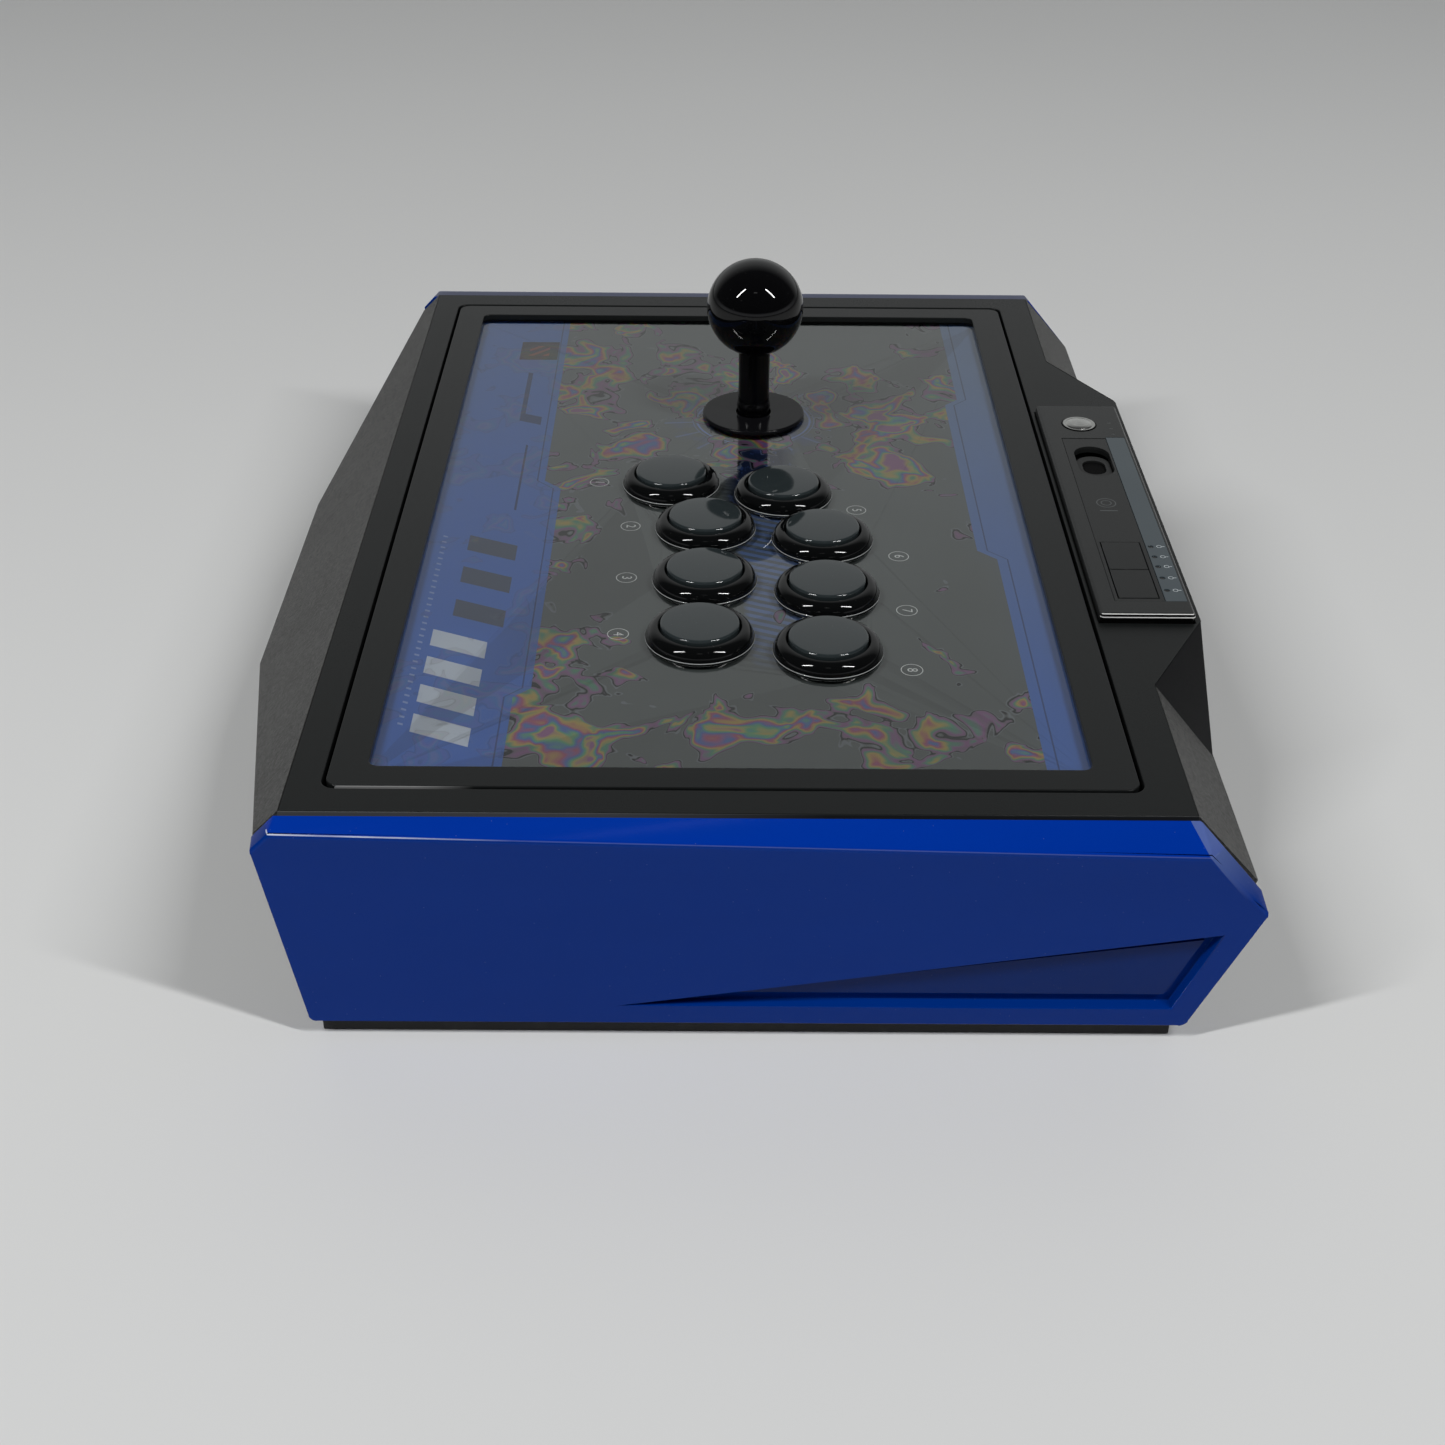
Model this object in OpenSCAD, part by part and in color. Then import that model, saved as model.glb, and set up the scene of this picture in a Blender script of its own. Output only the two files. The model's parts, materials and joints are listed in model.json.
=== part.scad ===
// Free-standing joystick enclosure with a hinged lid, a ball-top lever, eight
// buttons and a raised option console. Millimetres. X runs along the player's
// front edge (player's right is +X), Y runs to the rear, Z is up, and the
// origin lies on the table under the middle of the enclosure.

/* [Case] */
// Length of the black body between the blue end panels
case_len = 374; // [310:1:450]
// Depth of the flat top, from its front edge to its rear edge
top_depth = 246.5; // [205:0.5:296]
// Height of the flat top above the table
top_z = 72; // [62:0.5:87]
// Wall thickness of the front and rear shells
wall = 2.5; // [2:0.1:3.5]
// Thickness of the black top frame
top_t = 4; // [3.5:0.1:6]
// Forward run of the 45 degree front slope at the middle
front_run = 33; // [24:0.5:36]
// Run of the front slope at the two ends
front_run_end = 7.6; // [5:0.1:12]
// Half length of the straight middle stretch of the front
front_flat_half = 58; // [40:1:80]
// Tuck of the lower front face from its widest line to the base
front_tuck = 9.25; // [5:0.25:14]
// Run of the rear slope
rear_run = 19; // [14:0.5:24]
// Drop of the rear slope
rear_drop = 21.5; // [16:0.5:28]
// Tuck of the lower rear face from its widest line to the base
rear_tuck = 16.3; // [8:0.1:20]
// Rearward reach of the console bump
bump_run = 21; // [20:0.5:30]
// Half length of the console bump at its rear edge
bump_half = 82.5; // [78:0.5:95]
// Extra half length of the bump where it meets the rear edge of the top
bump_flare = 38; // [20:0.5:45]
// Thickness of the base pan floor
base_t = 3; // [2.5:0.1:5]

/* [Feet] */
// Height of the rubber foot rails, below the base pan
foot_h = 3; // [2:0.1:6]
// Width of a foot rail under the base pan
foot_w = 14; // [8:0.5:24]

/* [End panels] */
// Width of the dark groove between the body and an end panel
panel_groove = 2.6; // [1.5:0.1:4]
// Thickness of an end panel outside the groove
panel_t = 5.7; // [5:0.1:9]
// Height of the panel's inner edge above the flat top
panel_lip = 0.6; // [0:0.1:1.5]
// Drop of the top bevel at the front end
bevel_front = 2.8; // [1.5:0.1:5]
// Drop of the top bevel at the rear end
bevel_rear = 8.6; // [4:0.1:12]
// Height of the panel's lower edge above the table
panel_low = 5.5; // [4:0.1:8]
// Depth of the wedge recess
recess_depth = 3.8; // [1.5:0.1:4]
// Length of the wedge recess along its bottom edge
recess_len = 153.6; // [100:0.1:170]
// Height of the wedge recess at its tall end
recess_h = 26; // [16:0.5:28]
// Thickness of the dark insert on the recess floor
insert_t = 1.2; // [0.8:0.1:2]

/* [Lid] */
// Gap of the seam round the lid
seam_gap = 1; // [0.8:0.1:1.6]
// Width of the top frame beside the lid's ends
margin_side = 11; // [10:0.5:14]
// Width of the top frame before the lid
margin_front = 9.5; // [9:0.5:14]
// Width of the top frame behind the lid
margin_rear = 12.25; // [11.5:0.25:13]
// Width of the lid's bezel at its ends
bezel_side = 10; // [9:0.5:13]
// Width of the lid's bezel at the front
bezel_front = 10.5; // [9:0.5:14]
// Width of the lid's bezel at the rear
bezel_rear = 11.7; // [10:0.1:14]
// Depth of the window below the bezel's top face
lip_t = 2; // [1.2:0.1:3]
// Width of the bezel lip that holds the window's edge
lip_hold = 3.2; // [2:0.1:4]
// Thickness of the clear window
window_t = 2; // [1.5:0.1:3]
// Thickness of the printed sheet under the window
art_t = 0.4; // [0.2:0.1:0.8]
// Thickness of the steel control panel
panel_steel_t = 2; // [1.5:0.1:3]
// Radius of the hinge pins
pin_r = 1.5; // [1.2:0.05:2]
// Distance of the hinge axis from the lid's rear edge
hinge_back = 8.5; // [8:0.1:10]
// Depth of the hinge axis below the top
hinge_down = 3; // [2.6:0.1:3.2]

/* [Buttons] */
// Hole diameter that the buttons snap into
button_hole = 30; // [24:0.1:31.5]
// Reach of a button's rim past its hole
rim_lip = 1.95; // [1.5:0.05:2.2]
// Height of a button's rim above the window
rim_h = 4.3; // [3:0.1:5]
// Distance of a plunger's edge inside the hole
plunger_inset = 2.6; // [2.2:0.1:3.6]
// Height of a plunger's top above the window
plunger_h = 6; // [5:0.1:9]
// Travel of a plunger
plunger_travel = 2.5; // [1.5:0.1:4]
// Spacing of the three right-hand columns
col_pitch = 36; // [35:0.1:39]
// Spacing of the first two columns
first_pitch = 33.3; // [33:0.1:36]
// Spacing of the two rows
row_pitch = 39; // [35:0.1:42]
// Shift of the rear row towards the player's right
row_shift = 7.7; // [0:0.1:12]
// Drop of the first column towards the player
first_drop = 12.2; // [0:0.1:18]
// Drop of the last column towards the player
last_drop = 1.2; // [0:0.1:8]

/* [Lever] */
// Place of the lever left of the middle
lever_left = 72.3; // [62:0.1:90]
// Diameter of the ball top
ball_d = 35; // [30:0.5:42]
// Height of the ball's centre above the flat top
ball_up = 40.5; // [36:0.1:50]
// Depth of the pivot below the flat top
pivot_down = 16; // [15.5:0.1:17.5]
// Diameter of the shaft cover
cover_d = 11.6; // [10:0.1:12]
// Diameter of the shaft
shaft_d = 8; // [7:0.1:8.2]
// Diameter of the dust washer
washer_d = 37.8; // [34:0.1:42]
// Thickness of the dust washer
washer_t = 1.5; // [1:0.1:1.8]
// Largest tilt of the lever, in degrees
lever_tilt = 9.5; // [6:0.5:10]
// Diameter of the lever's hole in the panel
lever_hole = 24; // [22:0.5:26]

/* [Console] */
// Left end of the console
console_left = 72; // [68:0.5:76]
// Right end of the console
console_right = 84; // [80:0.5:88]
// Height of the console above the flat top
console_up = 3; // [2:0.1:5]
// Wall thickness of the console
console_wall = 2.4; // [2:0.1:3]
// Diameter of the round button
guide_d = 12.2; // [9:0.1:14]
// Length of a square button
option_len = 18.3; // [14:0.1:18.5]
// Width of a square button
option_w = 12.5; // [9:0.1:13]
// Travel of the console buttons
console_travel = 1; // [0.5:0.1:1.2]
// Travel of the lock slider
slider_travel = 3.5; // [2:0.1:4]

/* [Hidden] */
$fn = 64;
big = 900;

// Clearances
slide_gap = 0.3;      // between a moving piece and what guides it
run_gap = 0.05;       // radial, hinge pin in its bearing
ball_gap = 0.1;       // radial, lever's pivot ball in its cup
fit_gap = 0.15;       // between pieces that are assembled once
nose_gap = 0.2;       // between a window, sheet or panel edge and its frame

// Body outline, worked out from the driving sizes
half = case_len / 2;
bulkhead_t = 3;
total_depth = front_run + top_depth + bump_run;
front_y = -total_depth / 2;
rear_y = total_depth / 2;
top_front_y = front_y + front_run;
top_rear_y = rear_y - bump_run;
base_z = foot_h;
floor_z = base_z + base_t;
front_apex_z = top_z - front_run;
end_apex_y = top_front_y - front_run_end;
end_apex_z = top_z - front_run_end;
end_tuck = 10.9;
end_bottom_y = end_apex_y + end_tuck;
rear_apex_y = top_rear_y + rear_run;
rear_apex_z = top_z - rear_drop;
rear_bottom_y = rear_apex_y - rear_tuck;
bump_foot_half = bump_half + bump_flare;
bump_apex_half = bump_foot_half + 5.3;

// Lid outline
open_half = half - margin_side;
open_front = top_front_y + margin_front;
open_rear = top_rear_y - margin_rear;
lid_half = open_half - seam_gap;
lid_front = open_front + seam_gap;
lid_rear = open_rear - seam_gap;
view_half = lid_half - bezel_side;
view_front = lid_front + bezel_front;
view_rear = lid_rear - bezel_rear;
window_top = top_z - lip_t;
art_top = window_top - window_t;
steel_top = art_top - art_t;
steel_bottom = steel_top - panel_steel_t;
stack_half = view_half + lip_hold;
stack_front = view_front - lip_hold;
stack_rear = view_rear + lip_hold;
hinge_y = lid_rear - hinge_back;
hinge_z = top_z - hinge_down;
pin_len = 13;
pin_in_lid = 6;
ear_w = 11;

// Controls
controls_y = (view_front + view_rear) / 2;
button_x = 91;
front_row_y = controls_y - 8.05;
rear_row_y = front_row_y + row_pitch;
function row_xy(x, y) = [
    [x - 2 * col_pitch - first_pitch, y - first_drop],
    [x - 2 * col_pitch, y],
    [x - col_pitch, y],
    [x, y - last_drop]
];
button_xy = concat(row_xy(button_x, front_row_y), row_xy(button_x + row_shift, rear_row_y));
body_d = button_hole - 0.2;
rim_d = button_hole + 2 * rim_lip;
plunger_d = button_hole - 2 * plunger_inset;
bore_d = plunger_d + 2 * slide_gap;
button_floor_z = window_top - 20;
button_floor_t = 2;
switch_size = [6.4, 20, 10];
nub_h = 1.4;
lever_xy = [-lever_left, controls_y + 9.25];
pivot_z = top_z - pivot_down;
pivot_r = 7;

// Lever parts, measured down from the pivot
plate_t = 1.6;
housing_w = 60;
housing_wall = 2.4;
housing_top = steel_bottom - plate_t;
housing_low = pivot_z - 19.4;
board_t = 1.6;
gate_t = 4;
gate_top = housing_low - board_t;
actuator_top = pivot_z - 12;
actuator_d = 15;
collar_d = 11;
collar_top = pivot_z - 18;
collar_low = pivot_z - 24.5;
actuator_reach = actuator_d / 2 + (pivot_z - collar_top) * tan(lever_tilt);
gate_half = collar_d / 2 + (pivot_z - collar_low) * tan(lever_tilt) + slide_gap;
actuator_flange = 1.2;
cup_low = pivot_z - 5;
spring_low = actuator_top + actuator_flange + 0.1;
spring_high = cup_low - 0.1;
spring_r = 8;
wire_r = 0.5;
shutter_z = housing_top - 1.4;
washer_z = window_top + slide_gap;

// Console
console_front = open_rear + 1.5;
console_rear = console_front + 29.7;
console_z = top_z + console_up;
console_y = (console_front + console_rear) / 2;
console_low = top_z - top_t;
console_board_z = top_z - 12;
guide_xy = [-55.3, console_y - 1.15];
option_y = console_y - 1.25;
option_x = [45.75, 64.45];
slider_xy = [-25, console_y - 0.25];
slider_r = 5.9;
strip_front = console_y + 6.85;
light_x = [39.5, 46.5, 53.1, 60.6, 68.7];
light_y = strip_front + 1.6;
light_d = 1.6;

// Lid lock, in the lower front face
lock_z = 24;
lock_travel = 8;
lock_arm_t = 3;
lock_pin_y = stack_front + 6;
tongue_x = 12.5;
tongue_t = 2;
lock_lip = 1.6;

// Helpers
function unit(v) = v / norm(v);
function wrap(list, i) = list[(i + len(list)) % len(list)];

// The polygon with each edge moved inwards by d. Points run counter-clockwise.
function edge_normal(a, b) = unit([b.y - a.y, a.x - b.x]);
function meet(p, n, q, m) =
    let (det = n.x * m.y - n.y * m.x, c = p * n, e = q * m)
    [(c * m.y - e * n.y) / det, (n.x * e - m.x * c) / det];
function inset(points, d) = [
    for (i = [0 : len(points) - 1])
        let (a = wrap(points, i - 1), b = points[i], c = wrap(points, i + 1),
             n = edge_normal(a, b), m = edge_normal(b, c))
        meet(b - d * n, n, b - d * m, m)
];

// Everything on the side of a plane that its normal points to
module beyond(point, normal) {
    turn = [0, acos(normal.z / norm(normal)), atan2(normal.y, normal.x)];
    translate(point) rotate(turn) translate([-big / 2, -big / 2, 0]) cube(big);
}

module cut_planes(planes, d) {
    for (p = planes) beyond(p[0] - d * unit(p[1]), p[1]);
}

// A polygon drawn in Y and Z, extruded along X
module along_x(x, length) {
    translate([x, 0, 0]) rotate([90, 0, 90]) linear_extrude(length) children();
}

module at_mirror() {
    children();
    mirror([1, 0, 0]) children();
}

module rounded_rect(size, r) {
    for (x = [r, size.x - r], y = [r, size.y - r]) translate([x, y]) circle(r);
    translate([r, 0]) square([size.x - 2 * r, size.y]);
    translate([0, r]) square([size.x, size.y - 2 * r]);
}

// Faceted body
function flip_x(v) = [-v.x, v.y, v.z];
low_side_a = [half, end_apex_y, end_apex_z];
low_side_b = [front_flat_half, front_y, front_apex_z];
low_side_c = [half, end_bottom_y, base_z];
low_side_n = cross(low_side_b - low_side_a, low_side_c - low_side_a);
front_planes = [
    [[0, top_front_y, top_z], [0, -1, 1]],
    [[0, front_y, front_apex_z], [0, base_z - front_apex_z, -front_tuck]],
    [low_side_a, low_side_n],
    [flip_x(low_side_a), flip_x(low_side_n)]
];
rear_low_plane = [[0, rear_apex_y, rear_apex_z], [0, rear_apex_z - base_z, -rear_tuck]];
rear_planes = [
    [[0, top_rear_y, top_z], [0, rear_drop, rear_run]],
    rear_low_plane
];
bump_a = [bump_half, rear_y, top_z];
bump_b = [bump_foot_half, top_rear_y, top_z];
bump_c = [bump_apex_half, rear_apex_y, rear_apex_z];
bump_n = cross(bump_b - bump_a, bump_c - bump_a);
bump_planes = [
    [[0, rear_y, top_z], [0, rear_drop, rear_apex_y - rear_y]],
    rear_low_plane,
    [bump_a, bump_n],
    [flip_x(bump_a), flip_x(bump_n)]
];

module main_block(d, half_x, low_z, high_z) {
    difference() {
        translate([-half_x, front_y - 1, low_z]) cube([2 * half_x, total_depth + 2, high_z - low_z]);
        cut_planes(front_planes, d);
        cut_planes(rear_planes, d);
    }
}

module bump_block(d, high_z) {
    low_z = rear_apex_z - 8;
    start_y = top_rear_y - 12;
    difference() {
        translate([-bump_apex_half - 9, start_y, low_z])
            cube([2 * bump_apex_half + 18, rear_y - start_y + 1, high_z - low_z]);
        cut_planes(bump_planes, d);
    }
}

module body_shell() {
    difference() {
        union() {
            main_block(0, half, floor_z, top_z);
            bump_block(0, top_z);
        }
        main_block(wall, half + 9, floor_z - 1, top_z - top_t);
        bump_block(wall, top_z - top_t);
        translate([0, 0, top_z - top_t]) linear_extrude(top_t + 1) top_outline();
    }
}

module top_outline() {
    polygon([
        [-half, top_front_y], [half, top_front_y], [half, top_rear_y], [bump_foot_half, top_rear_y],
        [bump_half, rear_y], [-bump_half, rear_y], [-bump_foot_half, top_rear_y], [-half, top_rear_y]
    ]);
}

// Screws: a pan head at the origin, pointing up
module screw_up(r, length, head_r, head_h) {
    cylinder(r = r, h = length);
    translate([0, 0, -head_h]) cylinder(r = head_r, h = head_h);
}

// Fastener places
boss_r = 4.5;
front_share = [-0.8, -0.24, 0.24, 0.8];
rear_share = [-0.8, -0.27, 0.27, 0.8];
base_screw_xy = concat(
    [for (s = front_share) [s * half, front_boss_y(s * half)]],
    [for (s = rear_share) [s * half, rear_bottom_y - wall - boss_r + 0.1]]
);
function front_boss_y(x) =
    (abs(x) <= front_flat_half ? front_y + front_tuck
        : front_y + front_tuck
          + (end_bottom_y - front_y - front_tuck) * (abs(x) - front_flat_half) / (half - front_flat_half))
    + wall + 5;
boss_h = 20;
screw_r = 1.5;
hole_r = 1.6;
frame_front_share = [-0.75, -0.27, 0.27, 0.75];
frame_rear_share = [-0.86, -0.75, 0.75, 0.86];
flange_t = 2.5;
flange_top = top_z - top_t;
side_flange_y = [-80, 0, 80];
frame_screw_len = flange_t + top_t - 1.5;
end_screw_yz = [
    [end_bottom_y + 22, floor_z + 12], [end_bottom_y + 22, top_z - 16], [0, top_z - 16],
    [top_rear_y - 20, top_z - 18], [-45, floor_z + 12]
];

module base_pan() color("dimgray") {
    difference() {
        main_block(0, half, base_z, floor_z);
        for (p = base_screw_xy) translate([p.x, p.y, base_z - 1]) cylinder(r = hole_r, h = base_t + 2);
    }
    for (x = board_x, y = board_y) translate([x, y, floor_z]) cylinder(r = 3, h = board_lift);
    lock_shelf();
}

board_x = [half - 115, half - 39];
board_y = [-52, 8];
board_lift = 6;
module lock_shelf() {
    translate([-12, top_front_y, floor_z]) cube([24, 8, lock_z - slide_gap - floor_z]);
}

module ballast_plate() color("silver")
    translate([-half + 30, -80, floor_z]) cube([110, 130, 2]);

// A rail below each end: flat under the base pan, with a lip that rises to the end panel
foot_out = panel_groove + 3;
module rubber_feet() color("black") at_mirror() translate([half, end_bottom_y + 3, 0]) {
    length = rear_bottom_y - end_bottom_y - 6;
    translate([-foot_w, 0, 0]) cube([foot_w + foot_out, length, foot_h]);
    translate([fit_gap, 0, 0]) cube([foot_out - fit_gap, length, panel_low - 0.3]);
}

module base_screws() color("silver")
    for (p = base_screw_xy) translate([p.x, p.y, base_z]) screw_up(screw_r, 14, 2.8, 1.4);

// A boss on the inside of a shell, with a rib that runs out to the wall
module screw_boss(p, side)
    intersection() {
        union() {
            translate([p.x, p.y, floor_z]) cylinder(r = boss_r, h = boss_h);
            translate([p.x - 1.2, p.y + (side - 1) * 6, floor_z]) cube([2.4, 12, boss_h]);
        }
        main_block(0.5, half, base_z, top_z);
    }

module screw_hole(p) translate([p.x, p.y, floor_z - 1]) cylinder(r = hole_r, h = 14);

module front_shell() color("dimgray")
    difference() {
        union() {
            intersection() {
                body_shell();
                translate([-big / 2, front_y - 2, 0]) cube([big, 45, top_z + 1]);
            }
            for (i = [0 : 3]) screw_boss(base_screw_xy[i], -1);
            front_flange();
            at_mirror() lid_rest();
        }
        for (i = [0 : 3]) screw_hole(base_screw_xy[i]);
        for (s = frame_front_share) translate([s * half, flange_front_y, flange_top - 9])
            cylinder(r = hole_r, h = 10);
        lock_slot();
    }

flange_front_y = open_front - 5;
flange_half = half - bulkhead_t - fit_gap;
module front_flange()
    intersection() {
        translate([-flange_half, top_front_y - 6, flange_top - flange_t])
            cube([2 * flange_half, 14, flange_t]);
        main_block(0.5, half, base_z, top_z);
    }

// A tab that the closed lid's front edge rests on
module lid_rest() translate([0.53 * half, top_front_y - 2, steel_bottom - 2.5]) {
    cube([16, open_front + 5 - top_front_y, 2.5]);
    cube([16, 6, flange_top - 1 - steel_bottom + 2.5]);
}

lock_face_y = front_y + front_tuck * (front_apex_z - lock_z) / (front_apex_z - base_z);
module lock_slot()
    translate([-6, lock_face_y - 6, lock_z - slide_gap]) cube([lock_travel + 12, 14, lock_arm_t + 2 * slide_gap]);

module rear_shell() color("dimgray") {
    difference() {
        union() {
            intersection() {
                body_shell();
                translate([-big / 2, rear_bottom_y - 14, 0]) cube([big, 60, top_z + 1]);
            }
            for (i = [4 : 7]) screw_boss(base_screw_xy[i], 1);
            at_mirror() rear_flange();
        }
        for (i = [4 : 7]) screw_hole(base_screw_xy[i]);
        for (s = frame_rear_share) translate([s * half, flange_rear_y, flange_top - 9])
            cylinder(r = hole_r, h = 10);
        usb_hole();
    }
}

flange_rear_y = top_rear_y - 5;
module rear_flange()
    intersection() {
        translate([flange_half - 57, top_rear_y - 9, flange_top - flange_t]) cube([57, 16, flange_t]);
        main_block(0.5, half, base_z, top_z);
    }

usb_x = (rear_share[0] + rear_share[1]) / 2 * half;
usb_z = 24;
usb_size = [12, 16, 11];
module usb_hole()
    translate([usb_x - usb_size.x / 2 - fit_gap, rear_bottom_y - 12, usb_z - fit_gap])
        cube([usb_size.x + 2 * fit_gap, 60, usb_size.z + 2 * fit_gap]);

usb_face_y = rear_apex_y - rear_tuck * (rear_apex_z - usb_z - usb_size.z) / (rear_apex_z - base_z);
module usb_socket() color("silver") {
    translate([usb_x - usb_size.x / 2, usb_face_y - usb_size.y - 1.5, usb_z]) difference() {
        cube(usb_size);
        translate([1.6, usb_size.y - 9, 1.4]) cube([8.8, 10, 8.2]);
    }
    translate([usb_x - 2.8, usb_face_y - 12, usb_z + 4]) cube([5.6, 9, 3]);
    translate([usb_x - 9, usb_face_y - usb_size.y - 8, usb_z - board_t]) cube([18, 14, board_t]);
    translate([usb_x - 4, usb_face_y - usb_size.y - 6, floor_z]) cube([8, 8, usb_z - board_t - floor_z]);
}

module top_frame() color("#26272a") {
    difference() {
        union() {
            translate([0, 0, top_z - top_t]) linear_extrude(top_t) top_outline();
            at_mirror() hinge_ear();
        }
        translate([-open_half, open_front, top_z - top_t - 1])
            linear_extrude(top_t + 2) rounded_rect([2 * open_half, open_rear - open_front], 4);
        translate([-console_left - fit_gap, console_front - fit_gap, top_z - top_t - 1])
            cube([console_left + console_right + 2 * fit_gap, console_rear - console_front + 2 * fit_gap,
                  top_t + 2]);
        at_mirror() translate([lid_half - 1, hinge_y, hinge_z]) rotate([0, 90, 0])
            cylinder(r = pin_r + run_gap, h = pin_len - pin_in_lid + 2.5);
        for (p = frame_screw_xy) translate([p.x, p.y, top_z - top_t - 1]) cylinder(r = hole_r, h = top_t - 0.3);
    }
}

frame_screw_xy = concat(
    [for (s = frame_front_share) [s * half, flange_front_y]],
    [for (s = frame_rear_share) [s * half, flange_rear_y]],
    [for (s = [-1, 1], y = side_flange_y) [s * (open_half + 4.5), y]]
);

module hinge_ear()
    translate([open_half, hinge_y - ear_w / 2, top_z - 8])
        cube([margin_side - wall - 0.6, ear_w, 8 - top_t + 0.5]);

module frame_screws() color("silver")
    for (p = frame_screw_xy) translate([p.x, p.y, flange_top - flange_t])
        screw_up(screw_r, frame_screw_len, 2.6, 1.4);

// End bulkheads, panels and inserts. Profile points run counter-clockwise, Y then Z.
end_profile = [
    [end_bottom_y, base_z], [rear_bottom_y, base_z], [rear_apex_y, rear_apex_z],
    [top_rear_y, top_z], [top_front_y, top_z], [end_apex_y, end_apex_z]
];

module right_bulkhead() color("black") {
    difference() {
        union() {
            intersection() {
                along_x(half - bulkhead_t, bulkhead_t) polygon(inset(end_profile, wall + fit_gap));
                translate([0, -big / 2, floor_z]) cube([big, big, flange_top - floor_z]);
            }
            for (y = side_flange_y) translate([open_half + 0.5, y - 8, flange_top - flange_t])
                cube([margin_side - 1, 16, flange_t]);
        }
        for (p = end_screw_yz) translate([half - bulkhead_t - 1, p.x, p.y]) rotate([0, 90, 0])
            cylinder(r = hole_r, h = bulkhead_t + 2);
        for (y = side_flange_y) translate([open_half + 4.5, y, flange_top - flange_t - 1])
            cylinder(r = hole_r, h = flange_t + 2);
    }
}

module left_bulkhead() mirror([1, 0, 0]) right_bulkhead();

panel_in = [
    [end_bottom_y - 0.3, panel_low], [rear_bottom_y + 0.9, panel_low], [rear_apex_y + 0.4, rear_apex_z - 0.8],
    [top_rear_y, top_z + panel_lip], [top_front_y - 0.3, top_z + panel_lip], [end_apex_y + 0.3, end_apex_z + 0.8]
];
panel_out = [
    [end_bottom_y + 0.2, panel_low], [rear_bottom_y + 0.4, panel_low], [rear_y, rear_apex_z - 5.4],
    [top_rear_y + 2.9, top_z + panel_lip - bevel_rear], [top_front_y - 1.4, top_z + panel_lip - bevel_front],
    [end_apex_y + 0.9, end_apex_z + 0.2]
];
panel_steps = 6;
function ring(points) = [
    for (i = [0 : len(points) - 1], s = [0 : panel_steps - 1])
        points[i] + (wrap(points, i + 1) - points[i]) * s / panel_steps
];

// Blend between two convex outlines of equally many points, at two places along X
module loft_x(x0, points0, x1, points1) {
    n = len(points0);
    function centre(points) = [for (k = [0, 1]) [for (p = points) p[k]] * [for (p = points) 1] / n];
    c0 = centre(points0);
    c1 = centre(points1);
    polyhedron(
        concat([for (p = points0) [x0, p.x, p.y]], [for (p = points1) [x1, p.x, p.y]],
               [[x0, c0.x, c0.y], [x1, c1.x, c1.y]]),
        concat([for (i = [0 : n - 1]) [i, (i + 1) % n, 2 * n]],
               [for (i = [0 : n - 1]) [n + (i + 1) % n, n + i, 2 * n + 1]],
               [for (i = [0 : n - 1]) [i, n + i, n + (i + 1) % n]],
               [for (i = [0 : n - 1]) [i, n + (i + 1) % n, (i + 1) % n]])
    );
}

panel_x = half + panel_groove;
panel_face = panel_x + panel_t;
recess_right = rear_bottom_y - 4.2;
recess_low = panel_low + 6.3;
recess_points = [
    [recess_right - recess_len, recess_low], [recess_right, recess_low],
    [recess_right + 11, recess_low + recess_h]
];
recess_rise = atan2(recess_h, recess_len + 11);
cavity_depth = panel_t - 3;

module panel_cavity()
    difference() {
        intersection() {
            polygon(inset(panel_in, 7));
            translate(recess_points[0]) rotate(recess_rise) translate([-big / 2, 4]) square([big, big]);
        }
        for (p = end_screw_yz) translate(p) circle(5);
    }

module right_end_panel() color("#1c44a8") {
    difference() {
        union() {
            loft_x(panel_x, ring(panel_in), panel_face, ring(panel_out));
            along_x(half, panel_groove + 0.5) difference() {
                polygon(inset(panel_in, 3.2));
                polygon(inset(panel_in, 6.2));
            }
            for (p = end_screw_yz) along_x(half, panel_groove + 0.5) translate(p) circle(5);
        }
        along_x(panel_x - 1, cavity_depth + 1) panel_cavity();
        along_x(panel_face - recess_depth, recess_depth + 1) polygon(recess_points);
        for (p = end_screw_yz) along_x(half - 1, panel_groove + 3.5) translate(p) circle(hole_r);
    }
}

module left_end_panel() mirror([1, 0, 0]) right_end_panel();

module recess_inserts() color("#10182e") at_mirror()
    along_x(panel_face - recess_depth, insert_t) polygon([
        recess_points[0] + [30, 3.1], recess_points[1] + [-2.2, 3.1], recess_points[2] + [-4.2, -3.4]
    ]);

module end_panel_screws() color("silver") at_mirror()
    for (p = end_screw_yz) translate([half - bulkhead_t, p.x, p.y]) rotate([0, 90, 0])
        screw_up(screw_r, bulkhead_t + panel_groove + 2, 2.8, 1.4);

// Console
module console_shape(low, high, inward) {
    r = 1.2;
    x0 = -console_left + inward;
    x1 = console_right - inward;
    y0 = console_front + inward;
    y1 = console_rear - inward;
    hull() {
        for (x = [x0 + r, x1 - r], y = [y0 + 1, y1 - 1]) translate([x, y, low]) cylinder(r = 1, h = 1, $fn = 24);
        for (x = [x0 + r, x1 - r]) translate([x, y0 + r, high - r]) sphere(r = r, $fn = 28);
        for (x = [x0 + r, x1 - r]) translate([x, y1 - r, high - r]) sphere(r = r, $fn = 28);
        translate([x0, y0 + r, low]) cube([x1 - x0, y1 - y0 - 2 * r, 1]);
        translate([x0 + r, y0, low]) cube([x1 - x0 - 2 * r, y1 - y0, 1]);
    }
}

// A bar with round ends, centred on the slider in Y
module slot_outline(left, right, r) {
    for (x = [left + r, right - r]) translate([x, 0]) circle(r);
    translate([left + r, -r]) square([right - left - 2 * r, 2 * r]);
}
slider_ends = [-7, 12];

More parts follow.
